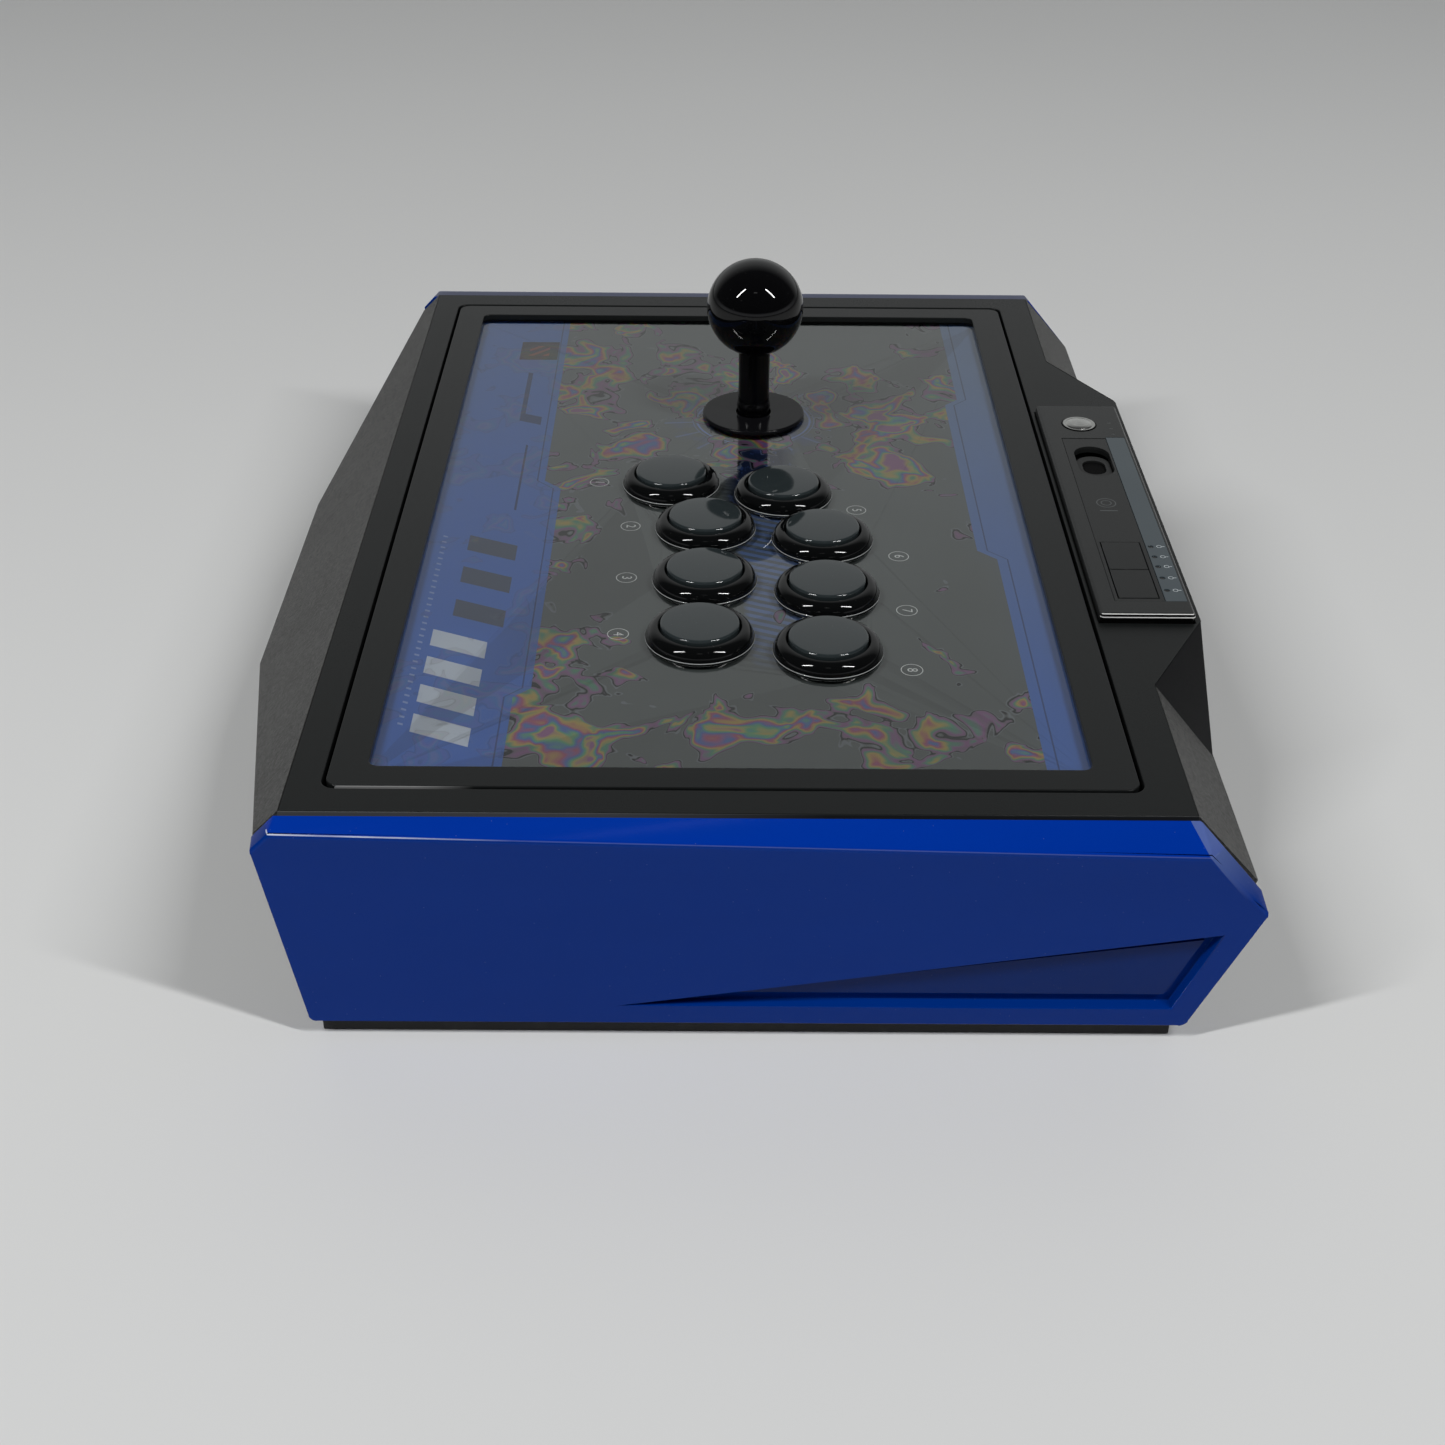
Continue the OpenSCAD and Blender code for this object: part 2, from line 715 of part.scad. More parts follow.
module console_housing() color("#2c2d30") {
    difference() {
        console_shape(console_low, console_z, 0);
        translate([-console_left + console_wall, console_front + console_wall, console_low - 1])
            cube([console_left + console_right - 2 * console_wall,
                  console_rear - console_front - 2 * console_wall, console_z - console_wall - console_low + 1]);
        translate([guide_xy.x, guide_xy.y, console_low]) cylinder(d = guide_d + 2 * slide_gap, h = big);
        translate([0, 0, console_z - inset_t]) linear_extrude(9) inset_outline(fit_gap);
        translate([0, 0, console_z - inset_t]) linear_extrude(9) strip_outline(fit_gap);
        translate([0, 0, console_low]) linear_extrude(99) inset_openings();
        for (x = light_x) translate([x, light_y, console_low]) cylinder(d = light_d + 0.2, h = 99, $fn = 24);
    }
    for (x = console_post_x, y = [console_front + 5, console_rear - 5])
        translate([x, y, console_board_z + board_t])
            cylinder(d = 4, h = console_z - console_wall - console_board_z - board_t);
}

console_post_x = [-66, 20, 80];
inset_t = 1.1;
inset_x = [-43.2, 75.6];
module inset_outline(grow)
    translate([inset_x[0] - grow, strip_front - 15.9 - grow])
        square([inset_x[1] - inset_x[0] + 2 * grow, 15.8 + 2 * grow]);

module strip_outline(grow)
    translate([inset_x[0] - 1 - grow, strip_front])
        square([inset_x[1] - inset_x[0] + 1 + 2 * grow, console_rear - 1.2 - strip_front]);

module inset_openings() {
    translate([option_x[0] - option_len / 2 - slide_gap, option_y - option_w / 2 - slide_gap])
        square([option_x[1] - option_x[0] + option_len + 2 * slide_gap, option_w + 2 * slide_gap]);
    translate(slider_xy)
        slot_outline(slider_ends[0] - slider_travel - 1, slider_ends[1] + slide_gap, slider_r + slide_gap);
}

module console_inset() color("#34363a")
    translate([0, 0, console_z - inset_t]) linear_extrude(inset_t - 0.1) difference() {
        inset_outline(0);
        inset_openings();
    }

module console_strip() color("#5b6c80")
    translate([0, 0, console_z - inset_t]) linear_extrude(inset_t) difference() {
        strip_outline(0);
        for (x = light_x) translate([x, light_y]) circle(d = light_d + 0.2, $fn = 24);
    }

module console_lights() color("gainsboro")
    for (x = light_x) translate([x, light_y, console_board_z + board_t])
        cylinder(d = light_d, h = console_z - 0.3 - console_board_z - board_t, $fn = 24);

module console_board() color("darkgreen") {
    translate([-console_left + 3, console_front + 2.6, console_board_z])
        cube([console_left + console_right - 6, console_rear - console_front - 5.2, board_t]);
    for (x = concat([guide_xy.x], option_x)) translate([x - 3, console_y - 4.4, console_board_z + board_t])
        cube([6, 6, tact_h]);
}

// Each console piece has a flange that holds it under the housing's roof
tact_h = 3.5;
stem_low = console_board_z + board_t + tact_h + console_travel + 0.2;
hold_t = 1.2;
flange_z = console_z - console_wall - slide_gap - hold_t;

module guide_button() color("silver") {
    translate([guide_xy.x, guide_xy.y, stem_low]) cylinder(r = 2, h = flange_z - stem_low);
    translate([guide_xy.x, guide_xy.y, 0]) rotate_extrude() polygon(concat(
        [[0, flange_z], [guide_d / 2 + 1.2, flange_z], [guide_d / 2 + 1.2, flange_z + hold_t],
         [guide_d / 2, flange_z + hold_t]],
        [for (a = [0 : 15 : 90]) [guide_d / 2 * cos(a), console_z + 0.1 + 0.9 * sin(a)]]
    ));
}

module option_button(x) {
    translate([x - option_len / 2, option_y - option_w / 2, flange_z])
        cube([option_len, option_w, console_z - flange_z]);
    translate([x - option_len / 2, option_y - option_w / 2 - 1.5, flange_z])
        cube([option_len, option_w + 3, hold_t]);
    translate([x, option_y, stem_low]) cylinder(r = 2, h = flange_z - stem_low);
}
module option_button_1() color("#2a2b2e") option_button(option_x[0]);
module option_button_2() color("#2a2b2e") option_button(option_x[1]);

slider_sink = 1.8;
module lock_slider() color("#303236") {
    low = flange_z - 2;
    difference() {
        translate([slider_xy.x, slider_xy.y, low])
            linear_extrude(console_z - slider_sink - low) slot_outline(slider_ends[0], slider_ends[1], slider_r);
        translate([slider_xy.x, slider_xy.y, low + 1]) linear_extrude(9) slot_outline(-3.5, 7.5, 4);
    }
    translate([slider_xy.x, slider_xy.y, flange_z])
        linear_extrude(hold_t) slot_outline(slider_ends[0] - 1.5, slider_ends[1] + 1.5, slider_r + 1.5);
    translate([slider_xy.x + 1, slider_xy.y, console_board_z + board_t + slide_gap])
        cylinder(r = 1.6, h = flange_z - console_board_z - board_t);
}

module main_board() color("darkgreen") {
    translate([board_x[0] - 6, board_y[0] - 6, floor_z + board_lift])
        cube([board_x[1] - board_x[0] + 12, board_y[1] - board_y[0] + 12, board_t]);
    translate([board_x[0] + 20, board_y[0] + 20, floor_z + board_lift + board_t]) cube([14, 14, 1.6]);
    for (i = [0 : 3]) translate([board_x[0] + 4 + i * 18, board_y[1] - 4, floor_z + board_lift + board_t])
        cube([12, 6, 7]);
}

// Lid lock
module lid_lock_knob() color("dimgray")
    translate([-4, front_y + 0.4, lock_z - 3.5])
        cube([8, lock_face_y - front_y - 0.4 - slide_gap - lock_lip, 10]);

module lid_lock_arm() color("silver") {
    knob_back = lock_face_y - slide_gap - lock_lip;
    translate([-4, knob_back, lock_z]) cube([8, lock_pin_y + 4 - knob_back, lock_arm_t]);
    translate([4 - 0.5, lock_pin_y, lock_z + lock_arm_t / 2]) rotate([0, 90, 0]) cylinder(r = 1.5, h = 6);
}

module lock_tongue() color("silver")
    difference() {
        union() {
            translate([tongue_x, lock_pin_y - 4, lock_z - 5]) cube([tongue_t, 9, steel_bottom - lock_z + 5]);
            translate([tongue_x, lock_pin_y - 4, steel_bottom - 1.5]) cube([14, 9, 1.5]);
        }
        translate([tongue_x - 1, lock_pin_y, lock_z + lock_arm_t / 2]) rotate([0, 90, 0])
            cylinder(r = 2.2, h = tongue_t + 2);
    }

// Lid
clip_reach = 3;
clip_size = 10;
clip_t = 1.2;
clip_xy = concat(
    [for (s = rear_share) [s * half, stack_front - clip_reach]],
    [for (s = rear_share) [s * half, stack_rear + clip_reach]],
    [for (s = [-1, 1], y = [-60, 60]) [s * (stack_half + clip_reach), y]]
);

module lid_frame() color("#2b2c2f")
    difference() {
        translate([-lid_half, lid_front, steel_bottom]) linear_extrude(top_z - steel_bottom)
            rounded_rect([2 * lid_half, lid_rear - lid_front], 4);
        translate([-view_half, view_front, steel_bottom - 1]) linear_extrude(99)
            rounded_rect([2 * view_half, view_rear - view_front], 3);
        translate([-stack_half - nose_gap, stack_front - nose_gap, steel_bottom - 1])
            cube([2 * (stack_half + nose_gap), stack_rear - stack_front + 2 * nose_gap,
                  window_top - steel_bottom + 1]);
        at_mirror() translate([lid_half - pin_in_lid, hinge_y, hinge_z]) rotate([0, 90, 0])
            cylinder(r = pin_r + 0.01, h = pin_in_lid + 1);
        for (p = clip_xy) translate([p.x, p.y, steel_bottom - 1]) cylinder(r = 1.25, h = 5.5);
    }

module hinge_pins() color("silver") at_mirror()
    translate([lid_half - pin_in_lid, hinge_y, hinge_z]) rotate([0, 90, 0]) cylinder(r = pin_r, h = pin_len);

module stack_plate(z, t) {
    translate([0, 0, z]) linear_extrude(t) difference() {
        translate([-stack_half, stack_front]) square([2 * stack_half, stack_rear - stack_front]);
        for (p = button_xy) translate(p) circle(d = button_hole);
        translate(lever_xy) circle(d = lever_hole);
    }
}

module window() color([0.8, 0.9, 1, 0.35]) stack_plate(art_top, window_t);
module artwork_sheet() color("#7d8494") stack_plate(steel_top, art_t);
module control_panel() color("gray")
    difference() {
        stack_plate(steel_bottom, panel_steel_t);
        for (p = stud_xy) translate([p.x, p.y, steel_bottom - 1]) cylinder(r = stud_r + 0.1, h = 9);
    }

module panel_clips() color("silver")
    difference() {
        intersection() {
            for (p = clip_xy) translate([p.x - clip_size / 2, p.y - clip_size / 2, steel_bottom - clip_t])
                cube([clip_size, clip_size, clip_t]);
            translate([-lid_half + 0.6, lid_front + 0.6, steel_bottom - 2])
                cube([2 * lid_half - 1.2, lid_rear - lid_front - 1.2, 3]);
        }
        for (p = clip_xy) translate([p.x, p.y, steel_bottom - 3]) cylinder(r = 1.35, h = 9);
    }

module clip_screws() color("silver")
    for (p = clip_xy) translate([p.x, p.y, steel_bottom - clip_t]) screw_up(1.2, 5, 2.2, 1.3);

// Buttons
rim_edge = 0.6;
module button_housings() color("#0c0c0e")
    for (p = button_xy) translate([p.x, p.y, 0]) {
        rotate_extrude() polygon(concat(
            [[bore_d / 2, button_floor_z], [body_d / 2, button_floor_z], [body_d / 2, window_top],
             [rim_d / 2 - 0.4, window_top]],
            [for (a = [0 : 15 : 90])
                [bore_d / 2 + 0.3 + (rim_d - bore_d - 0.6) / 2 * cos(a),
                 window_top + rim_edge + (rim_h - rim_edge) * sin(a)]],
            [[bore_d / 2, window_top + rim_h - 0.3]]
        ));
        translate([0, 0, button_floor_z]) difference() {
            cylinder(d = bore_d + 0.4, h = button_floor_t);
            translate([0, 0, -1]) cylinder(r = 2.2, h = button_floor_t + 2);
        }
    }

module button_switches() color("#1a1a1a")
    for (p = button_xy) translate([p.x, p.y, button_floor_z]) {
        translate([-switch_size.x / 2, -switch_size.y / 2, -switch_size.z]) cube(switch_size);
        cylinder(r = 1.4, h = nub_h);
        for (y = [-7, 7]) translate([-0.4, y - 2.4, -switch_size.z - 7]) cube([0.8, 4.8, 7.2]);
    }

module plunger(i) color("#3b3c40")
    translate([button_xy[i].x, button_xy[i].y, 0]) {
        low = button_floor_z + button_floor_t + plunger_travel + 0.3;
        top = window_top + plunger_h;
        rotate_extrude() polygon(concat(
            [[plunger_d / 2 - 1.6, low], [plunger_d / 2, low]],
            [for (a = [0 : 18 : 90]) [plunger_d / 2 - 1 + cos(a), top - 1.3 + sin(a)]],
            [[0, top], [0, top - 3], [plunger_d / 2 - 1.6, top - 3]]
        ));
        translate([0, 0, button_floor_z + nub_h + plunger_travel + 0.3])
            cylinder(r = 1.8, h = top - 2.5 - (button_floor_z + nub_h + plunger_travel + 0.3));
    }
module plunger_1() plunger(0);
module plunger_2() plunger(1);
module plunger_3() plunger(2);
module plunger_4() plunger(3);
module plunger_5() plunger(4);
module plunger_6() plunger(5);
module plunger_7() plunger(6);
module plunger_8() plunger(7);

// Lever
stud_r = 2;
stud_xy = [for (x = [-20, 20], y = [-42, 42]) lever_xy + [x, y]];
module at_lever() translate([lever_xy.x, lever_xy.y, 0]) children();

module lever_plate() color("silver")
    difference() {
        at_lever() translate([-27, -48, housing_top]) cube([54, 96, plate_t]);
        at_lever() translate([0, 0, housing_top - 1]) cylinder(d = lever_hole, h = plate_t + 2);
        for (p = stud_xy) translate([p.x, p.y, housing_top - 1]) cylinder(r = stud_r + 0.1, h = 9);
    }

module lever_studs() color("silver")
    for (p = stud_xy) translate([p.x, p.y, 0]) {
        translate([0, 0, housing_top - 6]) cylinder(r = stud_r, h = steel_top - housing_top + 6);
        translate([0, 0, housing_top - 3.2]) cylinder(r = 4, h = 3.2, $fn = 6);
    }

// The pivot ball drops into its cup from above, and the spring pulls it down
module lever_housing() color("#141414") at_lever()
    difference() {
        union() {
            difference() {
                translate([-housing_w / 2, -housing_w / 2, housing_low])
                    cube([housing_w, housing_w, housing_top - housing_low]);
                translate([-housing_w / 2 + housing_wall, -housing_w / 2 + housing_wall, housing_low - 1])
                    cube([housing_w - 2 * housing_wall, housing_w - 2 * housing_wall,
                          pivot_z + 1.8 - housing_low + 1]);
            }
            translate([0, 0, cup_low]) cylinder(r = 13, h = 8);
        }
        translate([0, 0, pivot_z]) sphere(r = pivot_r + ball_gap);
        translate([0, 0, pivot_z]) cylinder(r = pivot_r + ball_gap, h = 12);
        translate([0, 0, cup_low - 1]) cylinder(r = 5.6, h = 5);
        translate([0, 0, cover_low - 2]) cylinder(r = pivot_r + 2.6, h = 12);
        translate([-20, -16, shutter_z - slide_gap]) cube([40, 32, 9]);
    }

module lever_switches() color("#2a1c14") at_lever()
    for (a = [0 : 90 : 270]) rotate(a) {
        face = actuator_reach + 1.2;
        translate([face, -10, collar_top - 1.4]) cube([6.4, 20, 10]);
        translate([face - 0.9, -1.5, collar_top + 2.5]) cube([1, 3, 2.4]);
    }

module lever_board() color("darkgreen") at_lever()
    difference() {
        translate([-housing_w / 2 + 0.5, -housing_w / 2 + 0.5, gate_top]) cube([housing_w - 1, housing_w - 1, board_t]);
        translate([0, 0, gate_top - 1]) cylinder(r = gate_half + 1, h = board_t + 2);
    }

module restrictor_gate() color("#e8e6e0") at_lever()
    difference() {
        translate([-housing_w / 2, -housing_w / 2, gate_top - gate_t]) cube([housing_w, housing_w, gate_t]);
        translate([-gate_half, -gate_half, gate_top - gate_t - 1]) cube([2 * gate_half, 2 * gate_half, gate_t + 2]);
    }

module shutter_plate() color("#1c1c1e") at_lever()
    difference() {
        translate([-16, -14, shutter_z]) cube([32, 28, 1]);
        translate([0, 0, shutter_z - 1]) cylinder(d = cover_d + 4.6, h = 3);
    }

module dust_washer() color("#101012") at_lever()
    translate([0, 0, washer_z]) difference() {
        cylinder(d = washer_d, h = washer_t);
        translate([0, 0, -1]) cylinder(d = cover_d + 1.3, h = washer_t + 2);
    }

// Coil with flat-sided wire, closed at both ends
module coil(r, wire, low, high, turns) {
    sides = 6;
    per_turn = 16;
    n = turns * per_turn;
    function spot(i, k) =
        let (a = 360 * i / per_turn, b = 360 * k / sides, d = r + wire * cos(b))
        [d * cos(a), d * sin(a), low + wire + (high - low - 2 * wire) * i / n + wire * sin(b)];
    polyhedron(
        [for (i = [0 : n], k = [0 : sides - 1]) spot(i, k)],
        concat(
            [[for (k = [0 : sides - 1]) k]],
            [[for (k = [sides - 1 : -1 : 0]) n * sides + k]],
            [for (i = [0 : n - 1], k = [0 : sides - 1])
                [i * sides + k, (i + 1) * sides + k, (i + 1) * sides + (k + 1) % sides]],
            [for (i = [0 : n - 1], k = [0 : sides - 1])
                [i * sides + k, (i + 1) * sides + (k + 1) % sides, i * sides + (k + 1) % sides]]
        )
    );
}

module centering_spring() color("silver") at_lever()
    coil(spring_r, wire_r, spring_low, spring_high, 3);

shaft_top = top_z + ball_up - 3;
cover_low = pivot_z + 6.6;
ball_z = top_z + ball_up;
cover_high = ball_z - sqrt(pow(ball_d / 2, 2) - pow(cover_d / 2, 2));
module lever_shaft() color("silver") at_lever() {
    translate([0, 0, pivot_z - 28]) cylinder(r = 3, h = 24);
    translate([0, 0, pivot_z + 3]) cylinder(d = shaft_d, h = cover_high - pivot_z - 3.2);
    translate([0, 0, cover_high - 1]) cylinder(r = 3, h = shaft_top - cover_high + 1);
    translate([0, 0, pivot_z]) sphere(r = pivot_r);
}

module shaft_cover() color("#0e0e10") at_lever()
    difference() {
        union() {
            translate([0, 0, cover_low]) cylinder(d = cover_d, h = cover_high - 0.1 - cover_low);
            translate([0, 0, top_z + 2]) cylinder(d = cover_d + 1.3, h = 1.6);
        }
        translate([0, 0, cover_low - 1]) cylinder(d = shaft_d + 0.2, h = 99);
    }

module ball_top() color("#0a0a0b") at_lever()
    translate([0, 0, ball_z]) difference() {
        sphere(d = ball_d, $fn = 96);
        translate([0, 0, -ball_d]) cylinder(r = 3.05, h = ball_d - 3);
        translate([0, 0, -ball_d]) cylinder(r = cover_d / 2, h = ball_d - (ball_z - cover_high));
    }

module actuator() color("#e8e6e0") at_lever()
    difference() {
        union() {
            translate([0, 0, collar_low]) cylinder(d = collar_d, h = actuator_top - collar_low);
            translate([0, 0, collar_top]) cylinder(d = actuator_d, h = actuator_top - collar_top);
            translate([0, 0, actuator_top]) cylinder(d = 19, h = actuator_flange);
        }
        translate([0, 0, collar_low - 1]) cylinder(r = 3.05, h = 99);
    }

module e_clip() color("silver") at_lever()
    translate([0, 0, collar_low - 1.1]) difference() {
        cylinder(r = 5, h = 1);
        translate([0, 0, -1]) cylinder(r = 3.02, h = 3);
        translate([-2, 0, -1]) cube([4, 9, 3]);
    }

base_pan();
ballast_plate();
rubber_feet();
base_screws();
front_shell();
rear_shell();
top_frame();
frame_screws();
left_bulkhead();
right_bulkhead();
left_end_panel();
right_end_panel();
recess_inserts();
end_panel_screws();
console_housing();
console_inset();
console_strip();
console_lights();
console_board();
main_board();
usb_socket();
guide_button();
option_button_1();
option_button_2();
lock_slider();
lid_lock_knob();
lid_lock_arm();
lid_frame();
window();
artwork_sheet();
control_panel();
panel_clips();
clip_screws();
hinge_pins();
lock_tongue();
button_housings();
button_switches();
plunger_1();
plunger_2();
plunger_3();
plunger_4();
plunger_5();
plunger_6();
plunger_7();
plunger_8();
lever_plate();
lever_studs();
lever_housing();
lever_switches();
lever_board();
restrictor_gate();
shutter_plate();
dust_washer();
centering_spring();
lever_shaft();
shaft_cover();
ball_top();
actuator();
e_clip();
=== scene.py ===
"""Looks of the free-standing joystick enclosure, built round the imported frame.

Every length is in metres, in the frame of the CAD model: +X is the player's
right, +Y the rear and +Z up.
"""
import json
import math

import bmesh
import bpy
from mathutils import Matrix, Vector
from mathutils.bvhtree import BVHTree


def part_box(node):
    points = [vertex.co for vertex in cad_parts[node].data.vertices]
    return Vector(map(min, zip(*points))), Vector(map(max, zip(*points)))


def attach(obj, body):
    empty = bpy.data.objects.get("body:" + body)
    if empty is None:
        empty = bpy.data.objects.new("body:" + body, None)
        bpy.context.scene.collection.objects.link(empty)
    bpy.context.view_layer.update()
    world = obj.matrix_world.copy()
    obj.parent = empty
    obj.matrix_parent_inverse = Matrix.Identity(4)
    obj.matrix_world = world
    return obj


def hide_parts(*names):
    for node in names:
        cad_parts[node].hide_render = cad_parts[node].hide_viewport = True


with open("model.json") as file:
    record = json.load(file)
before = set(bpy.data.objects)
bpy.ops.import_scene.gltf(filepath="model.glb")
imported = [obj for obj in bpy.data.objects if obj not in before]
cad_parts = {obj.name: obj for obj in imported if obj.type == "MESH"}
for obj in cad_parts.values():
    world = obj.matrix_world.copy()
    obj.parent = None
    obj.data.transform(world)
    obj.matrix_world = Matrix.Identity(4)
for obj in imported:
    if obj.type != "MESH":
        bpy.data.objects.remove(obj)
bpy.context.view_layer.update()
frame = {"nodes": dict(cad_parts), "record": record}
NODES = frame["nodes"]
BODY = {n: body for body, members in frame["record"]["behaviour"]["bodies"].items() for n in members}


# -------- places read from the frame
def box_middle(node):
    """The middle of a node's box."""
    low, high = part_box(node)
    return (Vector(low) + Vector(high)) / 2


def levels(node):
    """The heights of a node's lowest and highest points."""
    return [corner[2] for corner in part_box(node)]


TOP_Z = levels("top_frame")[1]
WINDOW_TOP = levels("window")[1]
CONSOLE_TOP = levels("console_housing")[1]
CONSOLE_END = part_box("console_housing")[1][0]
FRAME_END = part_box("top_frame")[1][0]
LID_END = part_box("lid_frame")[1][0]
PANEL_LOW = levels("right_end_panel")[0]
LEVER_AT = box_middle("ball_top")
GUIDE = box_middle("guide_button")
BUTTONS = [box_middle(f"plunger_{n}") for n in range(1, 9)]
# The top of the rims' thin lip
RIM_EDGE_Z = WINDOW_TOP + 0.0006

# -------- camera
W, H = 1445, 1445
L = max(W, H)
LENS = 50.81
SENSOR = 36.0
SHIFT_X = 0.0
SHIFT_Y = 0.0
CAMERA_AT = Vector((0.6306, -0.00075, 0.3889))
PITCH = math.radians(32.98)
YAW = 0.005
ROLL = 0.009


def camera_turn():
    """The camera's axes as columns: right, up and backwards."""
    ahead = Vector((-math.cos(PITCH) * math.cos(YAW), math.cos(PITCH) * math.sin(YAW),
                    -math.sin(PITCH)))
    level = Vector((math.sin(YAW), math.cos(YAW), 0.0))
    upward = level.cross(ahead)
    right = level * math.cos(ROLL) + upward * math.sin(ROLL)
    up = upward * math.cos(ROLL) - level * math.sin(ROLL)
    return Matrix((right, up, -ahead)).transposed()


TURN = camera_turn()


def add_camera():
    """The camera that took the photograph, as fitted to its image points."""
    data = bpy.data.cameras.new("photo_camera")
    data.lens = LENS
    data.sensor_width = SENSOR
    data.sensor_fit = "AUTO"
    data.shift_x = SHIFT_X
    data.shift_y = SHIFT_Y
    data.clip_start = 0.01
    camera = bpy.data.objects.new("photo_camera", data)
    bpy.context.scene.collection.objects.link(camera)
    camera.matrix_world = Matrix.Translation(CAMERA_AT) @ TURN.to_4x4()
    bpy.context.scene.camera = camera


# Image points in the photograph's frame. None leaves a coordinate free.
POINTS = {
    "object_left": (247.9, None),
    "object_right": (1269.3, None),
    "object_top": (None, 257.6),
    "object_bottom": (None, 1033.5),
    "frame_near_left": (275.9, 811.0),
    "frame_near_right": (1199.0, 817.8),
    "frame_far_right": (1024.3, 297.9),
    "frame_far_left": (439.0, 294.8),
    "ball": (754.5, 306.6),
    "washer": (753.7, 409.4),
    "plunger_1": (672.0, 467.3),
    "plunger_4": (700.4, 620.9),
    "plunger_5": (783.6, 478.9),
    "plunger_8": (830.5, 634.7),
    "round_button": (1079.0, 424.2),
    "mark_front_row": (618.0, 634.0),
    "mark_rear_row": (912.0, 670.0),
}


def sight(x, y):
    """The direction in which the camera sees a point of the photograph."""
    ray = Vector((x - W / 2 + SHIFT_X * L, H / 2 - y + SHIFT_Y * L, -L * LENS / SENSOR))
    return (TURN @ ray).normalized()


def tree_of(*objects):
    """A search tree of finished pieces."""
    verts, faces = [], []
    for obj in objects:
        start = len(verts)
        verts += [v.co.copy() for v in obj.data.vertices]
        faces += [[start + i for i in p.vertices] for p in obj.data.polygons]
    return BVHTree.FromPolygons(verts, faces)


# Where the search along a ray that misses starts, its step, and its number of steps
SEARCH_START, SEARCH_STEP, SEARCH_STEPS = 0.3, 0.002, 400


def seen_on(name, tree):
    """The place on a surface that shows at an image point, or the place nearest its ray."""
    along = sight(*POINTS[name])
    hit = tree.ray_cast(CAMERA_AT, along)[0]
    if hit is not None:
        return hit
    tries = [CAMERA_AT + along * (SEARCH_START + SEARCH_STEP * i) for i in range(SEARCH_STEPS)]
    return min((tree.find_nearest(spot) for spot in tries), key=lambda found: found[3])[0]


# -------- shader maths
def maths(kind, swapped=False):
    """A method for Value that adds one Math node, its two numbers swapped if asked."""
    def work(value, other=0.0):
        first, second = (other, value) if swapped else (value, other)
        return value.paint.node("ShaderNodeMath", {"operation": kind}, {0: first, 1: second})
    return work


class Value:
    """A shader socket. Sums on it add Math nodes."""

    def __init__(self, paint, socket):
        self.paint = paint
        self.socket = socket

    __add__ = maths("ADD")
    __radd__ = maths("ADD", swapped=True)
    __sub__ = maths("SUBTRACT")
    __rsub__ = maths("SUBTRACT", swapped=True)
    __mul__ = maths("MULTIPLY")
    __rmul__ = maths("MULTIPLY", swapped=True)
    __gt__ = maths("GREATER_THAN")
    __lt__ = maths("LESS_THAN")
    __abs__ = maths("ABSOLUTE")
    root = maths("SQRT")
    wave = maths("SINE")
    part = maths("FRACT")
    angle = maths("ARCTAN2")
    top = maths("MAXIMUM")
    low = maths("MINIMUM")

    def between(self, start, end):
        """0 below start, 1 above end, and straight between them."""
        return self.paint.node("ShaderNodeMapRange", {"clamp": True},
                               {"Value": self, "From Min": start, "From Max": end})

    def near(self, place, full, none):
        """1 up to full away from a place, 0 from none on, and straight between them."""
        return 1.0 - abs(self - place).between(full, none)


